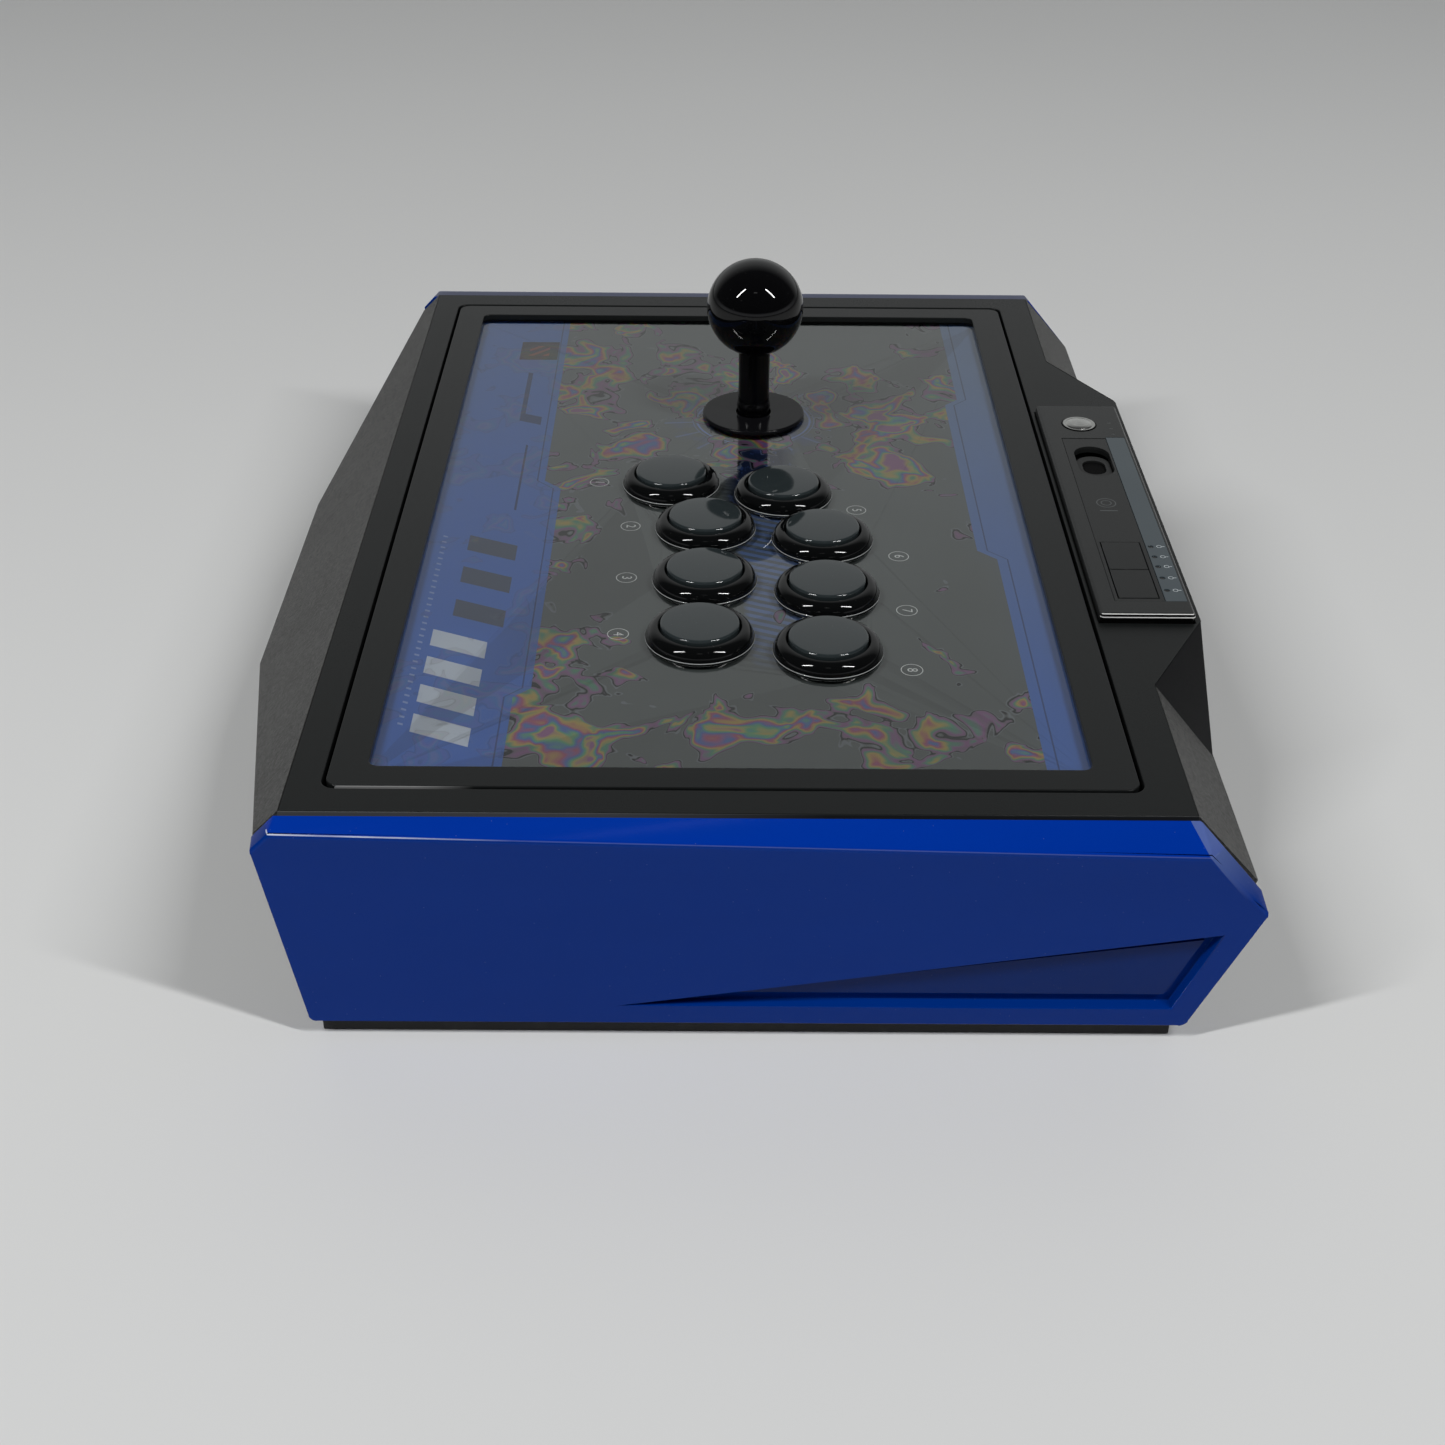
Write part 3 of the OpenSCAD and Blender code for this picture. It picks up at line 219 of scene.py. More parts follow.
class Paint:
    """The nodes of one material, or of the world, with a method that adds any node."""

    def __init__(self, name, owners="materials", ending="ShaderNodeOutputMaterial"):
        self.owner = getattr(bpy.data, owners).new(name)
        self.owner.use_nodes = True
        self.tree = self.owner.node_tree
        self.tree.nodes.clear()
        self.end = self.tree.nodes.new(ending)

    def node(self, kind, settings=None, inputs=None, output=0):
        """Any node: its settings first, then the values or links of its sockets."""
        made = self.tree.nodes.new(kind)
        for key, setting in (settings or {}).items():
            if key == "stops":
                self.set_stops(made.color_ramp, setting)
            else:
                setattr(made, key, setting)
        for key, value in (inputs or {}).items():
            if isinstance(value, Value):
                self.tree.links.new(value.socket, made.inputs[key])
            else:
                made.inputs[key].default_value = value
        return Value(self, made.outputs[output])

    @staticmethod
    def set_stops(ramp, stops):
        """A colour ramp's stops, each a place and a colour."""
        while len(ramp.elements) < len(stops):
            ramp.elements.new(0.5)
        for element, (at, colour) in zip(ramp.elements, stops):
            element.position = at
            element.color = (*colour, 1.0)

    def place(self, scale=(1.0, 1.0, 1.0), shift=(0.0, 0.0, 0.0), turn=(0.0, 0.0, 0.0)):
        """Object coordinates, moved, turned and stretched."""
        spot = self.node("ShaderNodeTexCoord", output="Object")
        return self.node("ShaderNodeMapping", {},
                         {"Vector": spot, "Location": shift, "Rotation": turn, "Scale": scale})

    def split(self, vector):
        """The x, y and z of a vector."""
        made = self.tree.nodes.new("ShaderNodeSeparateXYZ")
        self.tree.links.new(vector.socket, made.inputs[0])
        return [Value(self, out) for out in made.outputs]

    def noise(self, vector, scale, detail=2.0, rough=0.5):
        """Cloudy noise."""
        return self.node("ShaderNodeTexNoise", {}, {
            "Vector": vector, "Scale": scale, "Detail": detail, "Roughness": rough}, "Fac")

    def cells(self, vector, scale):
        """The distance from scattered specks."""
        return self.node("ShaderNodeTexVoronoi", {}, {"Vector": vector, "Scale": scale}, "Distance")

    def ramp(self, value, stops):
        """A colour that follows a value through stops."""
        return self.node("ShaderNodeValToRGB", {"stops": stops}, {"Fac": value}, "Color")

    def mix(self, share, first, second):
        """Colour: the first at share 0, the second at share 1."""
        pair = [c if isinstance(c, Value) else (*c, 1.0) for c in (first, second)]
        return self.node("ShaderNodeMix", {"data_type": "RGBA"}, {0: share, 6: pair[0], 7: pair[1]}, 2)

    def bump(self, height, depth, strength=1.0):
        """A surface raised by a height, depth metres at most."""
        return self.node("ShaderNodeBump", {},
                         {"Height": height, "Distance": depth, "Strength": strength})

    def close(self, shader):
        """Joins the last shader to the output."""
        self.tree.links.new(shader.socket, self.end.inputs["Surface"])
        return self.owner

    def surface(self, colour, rough, normal, **more):
        """Closes with a plain surface shader."""
        return self.close(self.node("ShaderNodeBsdfPrincipled", {}, {
            "Base Color": colour, "Roughness": rough, "Normal": normal, **more}))


def shade(colour, share):
    """A colour made darker or paler."""
    return tuple(c * share for c in colour)


def either(*masks):
    """One where any mask is one."""
    total = masks[0]
    for mask in masks[1:]:
        total = total.top(mask)
    return total


def distance(x, y, centre):
    """How far a place is from a centre, seen from above."""
    dx = x - centre.x
    dy = y - centre.y
    return (dx * dx + dy * dy).root()


def inside_box(x, y, box):
    """One inside a box (x low, x high, y low, y high)."""
    return (x > box[0]) * (x < box[1]) * (y > box[2]) * (y < box[3])


def stripes(value, count, start, share):
    """One on stripes, count of them to a unit of the value, each share of its room wide."""
    return (value * count + start).part() < share


# The least area of a facet, and how near a plane a place lies to be on it
FACET_AREA = 0.000003
ON_PLANE = 0.0003


def planes_of(node, test):
    """The planes (normal, distance) of a node's facets whose normals pass the test."""
    found = {}
    for face in NODES[node].data.polygons:
        if face.area > FACET_AREA and test(face.normal):
            found[face.normal.to_tuple(2)] = (face.normal.copy(), face.normal.dot(face.center))
    return list(found.values())


def on_planes(place, planes):
    """One on any of the planes."""
    x, y, z = place
    return either(*[abs(x * n.x + y * n.y + z * n.z - far) < ON_PLANE for n, far in planes])


# -------- plain materials
def no_edge(_, base, __):
    """No worn edge: the colour as it is."""
    return base


def moulded(name, colour, rough, grain, depth, mottle=0.12, ior=1.46, edge=no_edge):
    """Moulded plastic: fine tool grain, a faint cloudiness and slightly uneven gloss."""
    p = Paint(name)
    at = p.place()
    fine = p.noise(at, grain, 3.0, 0.6)
    cloud = p.noise(at, 21.0, 3.0)
    base = p.mix(cloud, shade(colour, 1.0 - mottle), shade(colour, 1.0 + mottle))
    return p.surface(edge(p, base, p.split(at)), rough + (cloud - 0.5) * 0.12 + (fine - 0.5) * 0.1,
                     p.bump(fine, depth), IOR=ior)


def polished(name, colour, rough=0.07, ripple=0.00001, ior=1.5, edge=no_edge):
    """Polished plastic, with the faint orange peel and haze that a lamp shows up."""
    p = Paint(name)
    at = p.place()
    peel = p.noise(at, 95.0)
    haze = p.noise(at, 38.0, 4.0, 0.65)
    dust = p.cells(at, 520.0).between(0.055, 0.02)
    base = p.mix(dust * 0.25, p.mix(haze, shade(colour, 0.9), shade(colour, 1.1)), (0.4, 0.4, 0.4))
    return p.surface(edge(p, base, p.split(at)), rough + haze.between(0.45, 0.8) * 0.05 + dust * 0.15,
                     p.bump(peel, ripple), IOR=ior)


def plated(name, colour, rough, streak=(1.0, 1.0, 1.0), grain=900.0):
    """Plated or drawn metal: streaks along one axis and soft stains."""
    p = Paint(name)
    lines = p.noise(p.place(streak), grain, 3.0, 0.6)
    stain = p.noise(p.place(), 45.0, 3.0, 0.6)
    base = p.mix(stain, shade(colour, 0.8), shade(colour, 1.08))
    return p.surface(base, rough + (stain - 0.5) * 0.18 + (lines - 0.5) * 0.22,
                     p.bump(lines, 0.00004, 0.6), Metallic=1.0)


def rubber(name):
    """Black rubber with a fine grain and a grey bloom."""
    p = Paint(name)
    at = p.place()
    grain = p.noise(at, 1400.0, 3.0, 0.7)
    bloom = p.noise(at, 120.0, 3.0, 0.6)
    base = p.mix(bloom.between(0.5, 0.8) * 0.5, (0.012, 0.012, 0.012), (0.05, 0.05, 0.05))
    return p.surface(base, 0.78 + (bloom - 0.5) * 0.15, p.bump(grain, 0.0001))


def circuit(name):
    """Green solder mask over copper tracks, with pale pads."""
    p = Paint(name)
    at = p.place()
    x, y, _ = p.split(at)
    wander = p.noise(at, 60.0, 1.0) * 0.012
    lane = ((x + wander) * 330.0).part()
    cross = ((y + wander) * 250.0).part()
    block = p.noise(at, 90.0, 0.0) > 0.5
    track = ((lane > 0.62) * block + (cross > 0.66) * (1.0 - block)).low(1.0)
    pads = p.cells(at, 240.0).between(0.16, 0.12)
    base = p.mix(pads, p.mix(track, (0.008, 0.055, 0.02), (0.02, 0.13, 0.045)), (0.55, 0.53, 0.46))
    return p.surface(base, 0.3 + pads * 0.12, p.bump(track + pads, 0.00004), Metallic=pads * 0.8)


def clear_sheet(name):
    """Clear acrylic, thin enough that nothing behind it shifts: it only mirrors by its angle."""
    p = Paint(name)
    at = p.place()
    haze = p.noise(at, 24.0, 4.0, 0.6)
    dust = p.cells(at, 300.0).between(0.05, 0.015)
    peel = p.bump(p.noise(at, 34.0, 1.0), 0.000004)
    mirror = p.node("ShaderNodeBsdfPrincipled", {}, {
        "Base Color": (0.95, 0.955, 0.95, 1.0), "Metallic": 1.0, "Normal": peel,
        "Roughness": 0.004 + haze.between(0.6, 0.9) * 0.02 + dust * 0.15})
    through = p.node("ShaderNodeBsdfTransparent", {}, {"Color": (0.93, 0.945, 0.94, 1.0)})
    slant = p.node("ShaderNodeFresnel", {}, {"IOR": 1.5, "Normal": peel})
    share = (slant * 1.35 + dust * 0.1).low(1.0)
    return p.close(p.node("ShaderNodeMixShader", {}, {0: share, 1: through, 2: mirror}))


def light_diffuser(name, colour):
    """Milky plastic of the light pipes, unlit."""
    p = Paint(name)
    milk = p.noise(p.place(), 300.0)
    return p.surface(p.mix(milk, shade(colour, 0.8), colour), 0.25 + milk * 0.1, p.bump(milk, 0.00002))


# The radius at which the round button's silver face ends
SILVER_R = 0.00575


def spun_metal(name, colour, centre):
    """Bright metal with fine turning rings round one point, and black outside its face."""
    p = Paint(name)
    at = p.place()
    x, y, _ = p.split(at)
    reach = distance(x, y, centre)
    stain = p.noise(at, 160.0, 3.0)
    base = p.mix(stain.between(0.35, 0.65), shade(colour, 0.72), colour)
    base = p.mix(reach.between(SILVER_R, SILVER_R + 0.00015), base, (0.004, 0.004, 0.004))
    return p.surface(base, 0.22 + (stain - 0.5) * 0.12, p.bump((reach * 4200.0).wave(), 0.000012),
                     Metallic=1.0)


def sunk_black(name, colour, level):
    """Moulded black, painted near-black below a level as shade in a pocket, and duller there."""
    p = Paint(name)
    at = p.place()
    fine = p.noise(at, 2400.0, 3.0, 0.6)
    cloud = p.noise(at, 60.0, 3.0)
    pocket_shade = 1.0 - p.split(at)[2].between(level - 0.0002, level)
    base = p.mix(pocket_shade, p.mix(cloud, shade(colour, 0.88), shade(colour, 1.12)), (0.0002, 0.0002, 0.0003))
    return p.surface(base, 0.30 + (cloud - 0.5) * 0.12 + pocket_shade * 0.6, p.bump(fine, 0.00002), IOR=1.25)


# -------- the case's finishes, some with painted light and shade
def spark_grained(name, colour):
    """Coarse spark-eroded slopes with pale flecks. The facets beside the console are smooth, and painted
    near-black as shade.
    """
    p = Paint(name)
    at = p.place()
    pits = p.noise(at, 700.0, 4.0, 0.72)
    lumps = p.noise(at, 1700.0)
    flecks = p.cells(at, 950.0).between(0.34, 0.10)
    cloud = p.noise(at, 30.0, 3.0)
    height = pits * 0.7 + lumps * 0.3
    facets = planes_of("rear_shell", lambda n: abs(n.x) > 0.3 and n.y > 0.5 and n.z > 0.5)
    plain = on_planes(p.split(at), facets)
    # Darker in the pits and paler on the tops of the grain
    tone_by_height = p.mix(height.between(0.36, 0.64), shade(colour, 0.35), shade(colour, 1.65))
    base = p.mix(flecks * 0.45, tone_by_height, shade(colour, 2.8))
    # Painted shade: the smooth facets beside the console are near-black
    base = p.mix(plain, base, p.mix(cloud, (0.0004, 0.0005, 0.0010), (0.0008, 0.0010, 0.0018)))
    return p.surface(base, 0.52 + (cloud - 0.5) * 0.1 - height * 0.1 + plain * 0.2,
                     p.bump(height * (1.0 - plain * 0.95), 0.0004, 0.9), IOR=1.32)


# The end panels' upper crease: its y and z at the front and at the rear end of the flat top
CREASE_Y = (-0.1186, 0.1322)
CREASE_Z = (0.0698, 0.0640)
CREASE_SLOPE = (CREASE_Z[1] - CREASE_Z[0]) / (CREASE_Y[1] - CREASE_Y[0])
# Past this x lies an end panel's outer face, and short of the other its inner one
OUTER_X = 0.1925
INNER_X = 0.1903
# Above this height the far panel's inner face shows in the seam, where it is painted pale as a
# reflection
LIP_Z = TOP_Z - 0.0018


def dusted_blue(name):
    """Polished blue plastic of the end panels with dust specks; painted lighter above the crease, where
    the light from above falls.
    """
    p = Paint(name)
    at = p.place()
    x, y, z = p.split(at)
    peel = p.noise(at, 60.0)
    flow = p.noise(p.place((1.0, 0.35, 1.6)), 26.0, 3.0, 0.55)
    scuff = p.noise(p.place((1.0, 0.2, 1.0), turn=(0.5, 0.0, 0.0)), 260.0, 3.0, 0.7).between(0.66, 0.78)
    dust = p.cells(at, 340.0).between(0.05, 0.02)
    height = z - (CREASE_Z[0] + (y - CREASE_Y[0]) * CREASE_SLOPE)
    # Painted light: lighter above the crease, as lit from above
    base = p.mix(height.between(-0.0002, 0.0004),
                 p.mix(flow, (0.0, 0.025, 0.200), (0.0, 0.029, 0.230)),
                 p.mix(flow, (0.0, 0.030, 0.315), (0.0, 0.035, 0.360)))
    # A painted highlight along the crease itself, patchy and brightest towards the front
    tone_by_height = height.near(0.0001, 0.00006, 0.00022) * (abs(x) > OUTER_X)
    patchy = p.noise(at, 70.0).between(0.30, 0.60) * 0.5 + 0.5
    share = 0.07 + 0.72 * (1.0 - y.between(-0.094, -0.054)) * patchy
    base = p.mix(tone_by_height * share, base, (0.80, 0.84, 0.94))
    # Painted reflection: the far panel's inner face in the seam, pale as if mirroring the wall
    lip = (abs(x) < INNER_X) * (x < 0.0) * (z > LIP_Z)
    base = p.mix(lip * 0.9, base, (0.21, 0.225, 0.27))
    # Painted reflection: the rear corner facets paler, as if mirroring the pale wall
    corner = planes_of("right_end_panel", lambda n: n.x > 0.3 and n.y > 0.5 and n.z > 0.3)
    facet_reflection = on_planes((x, y, z), corner) * z.between(0.050, 0.067) * 0.60
    base = p.mix(facet_reflection, base, (0.15, 0.21, 0.42))
    base = p.mix(dust * 0.3, base, (0.3, 0.34, 0.45))
    return p.surface(base, 0.13 + flow * 0.05 + scuff * 0.08 + dust * 0.2, p.bump(peel, 0.00002),
                     IOR=1.24)


def rim_lip(p, base, place):
    """A painted highlight along the rims' thin lip."""
    z = place[2]
    lip = (z > RIM_EDGE_Z - 0.00030) * (z < RIM_EDGE_Z - 0.00006)
    return p.mix(lip * 0.8, base, (0.50, 0.52, 0.52))


def console_end(p, base, place):
    """The console's near end: painted dark as shade, with two painted highlight lines along it."""
    x, _, z = place
    end = x > CONSOLE_END - 0.0009
    upper = abs(z - CONSOLE_TOP + 0.00022) < 0.00008
    lower = abs(z - CONSOLE_TOP + 0.00115) < 0.00017
    base = p.mix(end * (z < CONSOLE_TOP - 0.00008), base, (0.001, 0.001, 0.001))
    return p.mix(end * either(upper * 0.8, lower), base, (0.98, 0.98, 0.97))


def frame_edge(p, base, place):
    """A painted highlight on the frame's near top edge, fainter towards the rear."""
    x, y, _ = place
    share = (x > FRAME_END - 0.00012) * (0.16 - y.between(-0.03, 0.03) * 0.14)
    return p.mix(share, base, (0.55, 0.56, 0.56))


def lid_edge(p, base, place):
    """A painted highlight on the lid's near edge, at its front corner."""
    x, y, _ = place
    share = (x > LID_END - 0.00016) * (1.0 - y.between(-0.082, -0.066)) * 0.30
    return p.mix(share, base, (0.85, 0.86, 0.86))


# -------- the printed sheet
# The ground and the bands are paler towards the far end
GROUND_NEAR = (0.126, 0.139, 0.136)
GROUND_FAR = (0.170, 0.187, 0.185)
FRONT_BLUE = (0.062, 0.175, 0.560)
FRONT_BLUE_FAR = (0.105, 0.230, 0.580)
REAR_BLUE = (0.075, 0.190, 0.560)
REAR_BLUE_FAR = (0.190, 0.290, 0.500)
DEEP_BLUE = (0.004, 0.014, 0.060)
FRONT_BAND_Y = -0.0610
REAR_BAND_Y = 0.0915
# Boxes of the printed marks, as inside_box takes them. The slanted ones take the leaning x first.
LEAN = 0.45
PALE_BARS = (0.1230, 0.1820, -0.0880, -0.0705)
DARK_BARS = (0.0580, 0.1150, -0.0830, -0.0665)
STROKES = ((-0.082, -0.038, -0.0742, -0.0724), (-0.044, -0.037, -0.0742, -0.0660),
           (-0.018, 0.034, -0.0700, -0.0692))
TICKS = (0.020, 0.140, -0.0920, -0.0904)
TILE = (-0.146, -0.128, -0.0790, -0.0640)
TILE_GLINT = (-0.142, -0.132, -0.0755, -0.0675)
# The oil film shows from this height on, and its colours run through this range
FILM_START = 0.545
FILM_RANGE = 0.22
FILM_COLOURS = [
    (0.0, (0.15, 0.14, 0.15)), (0.10, (0.27, 0.11, 0.26)), (0.22, (0.09, 0.30, 0.19)),
    (0.35, (0.50, 0.36, 0.09)), (0.48, (0.42, 0.10, 0.18)), (0.61, (0.09, 0.16, 0.46)),
    (0.75, (0.12, 0.38, 0.21)), (0.88, (0.48, 0.37, 0.12)), (1.0, (0.32, 0.13, 0.28))]


def band_edges(x):
    """Where the two blue bands end, with a slanted step or two in each."""
    front = FRONT_BAND_Y + x.between(-0.020, -0.014) * 0.006 - x.between(0.118, 0.123) * 0.005
    rear = REAR_BAND_Y - x.between(-0.092, -0.087) * 0.005 + x.between(0.030, 0.036) * 0.006
    return front, rear


def band_marks(p, sheet, x, y):
    """Plain marks on the front band: slanted bars, a bracket, a stroke, ticks and a small tile."""
    lean = x - y * LEAN
    bars = stripes(lean, 62.0, 0.35, 0.60) * inside_box(lean, y, PALE_BARS)
    sheet = p.mix(bars * 0.9, sheet, (0.74, 0.77, 0.80))
    tall = stripes(lean, 46.0, 0.30, 0.48) * inside_box(lean, y, DARK_BARS)
    sheet = p.mix(tall * 0.85, sheet, (0.075, 0.082, 0.085))
    strokes = either(*[inside_box(lean, y, box) for box in STROKES])
    sheet = p.mix(strokes * 0.75, sheet, DEEP_BLUE)
    ticks = stripes(lean, 260.0, -0.37, 0.26) * inside_box(x, y, TICKS)
    sheet = p.mix(ticks * 0.6, sheet, (0.45, 0.55, 0.75))
    sheet = p.mix(inside_box(x, y, TILE), sheet, (0.030, 0.020, 0.022))
    glint = stripes(abs(x + y), 170.0, 0.0, 0.4) * inside_box(x, y, TILE_GLINT)
    return p.mix(glint * 0.8, sheet, (0.42, 0.060, 0.025))


def hatching(p, sheet, x, y):
    """Hatching between the rows of buttons, with deeper blue between the first columns."""
    strip = (y - x * 0.06).near(0.0165, 0.0105, 0.0125)
    strip = strip * x.between(0.000, 0.004) * (1.0 - x.between(0.085, 0.108))
    slant = stripes(x - y * 0.42, 248.0, 0.0, 0.5)
    sheet = p.mix(strip * (slant * 0.65 + 0.15), sheet, (0.17, 0.26, 0.54))
    deep = y.near(0.0150, 0.008, 0.014) * x.near(-0.024, 0.022, 0.032)
    detail = (p.noise(p.place((1.0, 2.2, 1.0)), 150.0, 2.0, 0.6) - 0.58).between(0.0, 0.04)
    return p.mix(deep * 0.95, sheet, p.mix(detail * 0.6, DEEP_BLUE, (0.050, 0.11, 0.36)))


def lever_rings(p, sheet, at, x, y):
    """Two thin rings, sixteen short rays and a blue glow round the lever."""
    reach = distance(x, y, LEVER_AT)
    turn = (y - LEVER_AT.y).angle(x - LEVER_AT.x)
    ragged = 0.0250 + p.noise(at, 90.0, 1.0) * 0.0130
    rays = stripes(turn, 8.0 / math.pi, -0.20, 0.10) * (reach < ragged) * (reach > 0.0225)
    rings = either(abs(reach - 0.0211) < 0.0004, (abs(reach - 0.0226) < 0.00015) * 0.7)
    glow = (1.0 - reach.between(0.020, 0.033)) * p.noise(at, 120.0, 3.0, 0.6).between(0.44, 0.62)
    sheet = p.mix(glow * 0.55, sheet, (0.08, 0.14, 0.46))
    return p.mix(either(rings * 0.75, rays * 0.35), sheet, (0.24, 0.35, 0.78))


def film_height(p, at, x, y, edge):
    """Height of the oil film: above FILM_START it shows, and its colour follows the height."""
    drift = p.node("ShaderNodeTexNoise", {}, {"Vector": at, "Scale": 30.0, "Detail": 2.0}, "Color")
    drift = p.node("ShaderNodeVectorMath", {"operation": "SCALE"}, {0: drift, "Scale": 0.05})
    swirl = p.node("ShaderNodeVectorMath", {"operation": "ADD"}, {0: at, 1: drift})
    film = p.noise(swirl, 50.0, 2.5)
    spread = p.noise(p.place(shift=(0.37, 0.12, 0.0)), 13.0, 1.0)
    # It gathers along the front band, round the lever and along the near end, not among the buttons
    band_side = (y - edge).near(0.014, 0.010, 0.034)
    round_lever = distance(x, y, LEVER_AT).near(0.042, 0.012, 0.034)
    end_side = (x - (y - 0.02) * 0.08).near(0.136, 0.006, 0.018) * (1.0 - y.between(0.030, 0.050))
    wanted = either(band_side, round_lever * 0.95, end_side * 0.9)
    buttons = (x.between(-0.042, -0.020) * (1.0 - x.between(0.104, 0.128))
               * y.between(-0.046, -0.026) * (1.0 - y.between(0.046, 0.070)))
    return film + wanted * 0.105 + (spread - 0.5) * 0.26 - buttons * 0.12 - 0.050


def oil_film(p, sheet, lift, quiet):
    """Patches like oil on water, with a pale hem and a black outline."""
    outline = lift.near(FILM_START, 0.0034, 0.0066)
    hem = lift.near(FILM_START - 0.0125, 0.0020, 0.0055)
    colours = p.ramp(lift.between(FILM_START, FILM_START + FILM_RANGE), FILM_COLOURS)
    sheet = p.mix((lift > FILM_START) * quiet, sheet, colours)
    sheet = p.mix(hem * (quiet * 0.60), sheet, (0.26, 0.28, 0.31))
    return p.mix((outline * quiet * 1.08).low(1.0), sheet, (0.002, 0.002, 0.006))


def printed_sheet(name):
    """A plain printed design: two blue bands with marks, hatching, rings, and an oil film."""
    p = Paint(name)
    at = p.place()
    x, y, _ = p.split(at)
    front_edge, rear_edge = band_edges(x)
    front = y < front_edge
    rear = y > rear_edge
    cloud = p.noise(at, 22.0, 4.0, 0.6)
    near = x.between(-0.12, 0.13)
    ground = p.mix(cloud, p.mix(near, shade(GROUND_FAR, 0.86), shade(GROUND_NEAR, 0.86)),
                   p.mix(near, shade(GROUND_FAR, 1.16), shade(GROUND_NEAR, 1.16)))
    sheet = p.mix(rear, ground, p.mix(near, REAR_BLUE_FAR, REAR_BLUE))
    sheet = p.mix(front, sheet, p.mix(near, FRONT_BLUE_FAR, FRONT_BLUE))
    sheet = p.mix(cloud * 0.08, sheet, DEEP_BLUE)
    lines = either(abs(y - front_edge + 0.0026) < 0.00025, abs(y - rear_edge - 0.0034) < 0.00025)
    sheet = p.mix(lines * 0.6, sheet, DEEP_BLUE)
    sheet = band_marks(p, sheet, x, y)
    sheet = hatching(p, sheet, x, y)
    sheet = lever_rings(p, sheet, at, x, y)
    quiet = 0.95 - front * 0.80 - rear * 0.95
    sheet = oil_film(p, sheet, film_height(p, at, x, y, front_edge), quiet)
    dots = p.bump(p.cells(at, 2600.0), 0.000008)
    return p.surface(sheet, 0.42 + (cloud - 0.5) * 0.1, dots, IOR=1.2)


# -------- finishes, and the node each goes on
# Below this level the slider's finger pocket is painted black as shade
SLIDER_POCKET = levels("lock_slider")[1] - 0.0006
FINISH = {
    "blue": dusted_blue("blue_panel"),
    "navy": polished("recess_navy", (0.0, 0.018, 0.130), 0.10, ior=1.27),
    "frame": moulded("frame_satin_black", (0.008, 0.009, 0.009), 0.30, 2600.0, 0.00003,
                     ior=1.25, edge=frame_edge),
    "lid": moulded("lid_satin_black", (0.009, 0.010, 0.010), 0.24, 2600.0, 0.00003,
                   ior=1.26, edge=lid_edge),
    "slope": spark_grained("slope_grained", (0.046, 0.046, 0.0445)),
    "inner": moulded("inner_black", (0.012, 0.012, 0.012), 0.5, 1500.0, 0.00008),
    "console": moulded("console_black", (0.013, 0.014, 0.014), 0.20, 2400.0, 0.00003,
                       ior=1.32, edge=console_end),
    "inset": moulded("inset_black", (0.016, 0.017, 0.017), 0.30, 3000.0, 0.00002, ior=1.29),
    "key": moulded("key_black", (0.014, 0.015, 0.015), 0.34, 2800.0, 0.00003, ior=1.29),
    "slider": sunk_black("slider_black", (0.014, 0.0145, 0.0145), SLIDER_POCKET),
    "strip": polished("strip_blue_grey", (0.052, 0.068, 0.078), 0.10, ior=1.38),
    "rim": polished("rim_black", (0.0025, 0.0028, 0.003), 0.04, ior=1.40, edge=rim_lip),
    "plunger": polished("plunger_grey", (0.022, 0.029, 0.031), 0.05, 0.000004, ior=1.58),
    "ball": polished("ball_black", (0.0018, 0.0018, 0.0022), 0.022, ior=1.36),
    "washer": moulded("washer_black", (0.005, 0.005, 0.006), 0.10, 1800.0, 0.00002, ior=1.25),
    "cover": polished("cover_black", (0.0012, 0.0012, 0.0016), 0.12, ior=1.38),
    "zinc": plated("zinc_plate", (0.60, 0.60, 0.58), 0.34),
    "panel_steel": plated("rolled_steel", (0.50, 0.51, 0.52), 0.38, (1.0, 18.0, 18.0), 260.0),
    "shaft": plated("ground_steel", (0.66, 0.66, 0.65), 0.18, (6.0, 6.0, 0.6), 500.0),
    "spring": plated("spring_wire", (0.55, 0.54, 0.52), 0.25),
    "silver": spun_metal("round_button_silver", (0.62, 0.62, 0.60), GUIDE),
    "board": circuit("board_green"),
    "nylon": moulded("nylon_white", (0.62, 0.61, 0.57), 0.42, 900.0, 0.00005, 0.04),
    "switch": moulded("switch_black", (0.012, 0.012, 0.013), 0.42, 1400.0, 0.00005),
    "foot": rubber("foot_rubber"),
    "window": clear_sheet("clear_acrylic"),
    "print": printed_sheet("printed_sheet"),
    "ink": moulded("pale_ink", (0.88, 0.89, 0.88), 0.5, 3000.0, 0.000005),
    "grey_ink": moulded("grey_ink", (0.42, 0.46, 0.48), 0.4, 3000.0, 0.000005),
    "dim_ink": moulded("dim_ink", (0.065, 0.070, 0.072), 0.4, 3000.0, 0.000005),
    "lamp_eye": light_diffuser("lamp_eye", (0.007, 0.008, 0.009)),
}

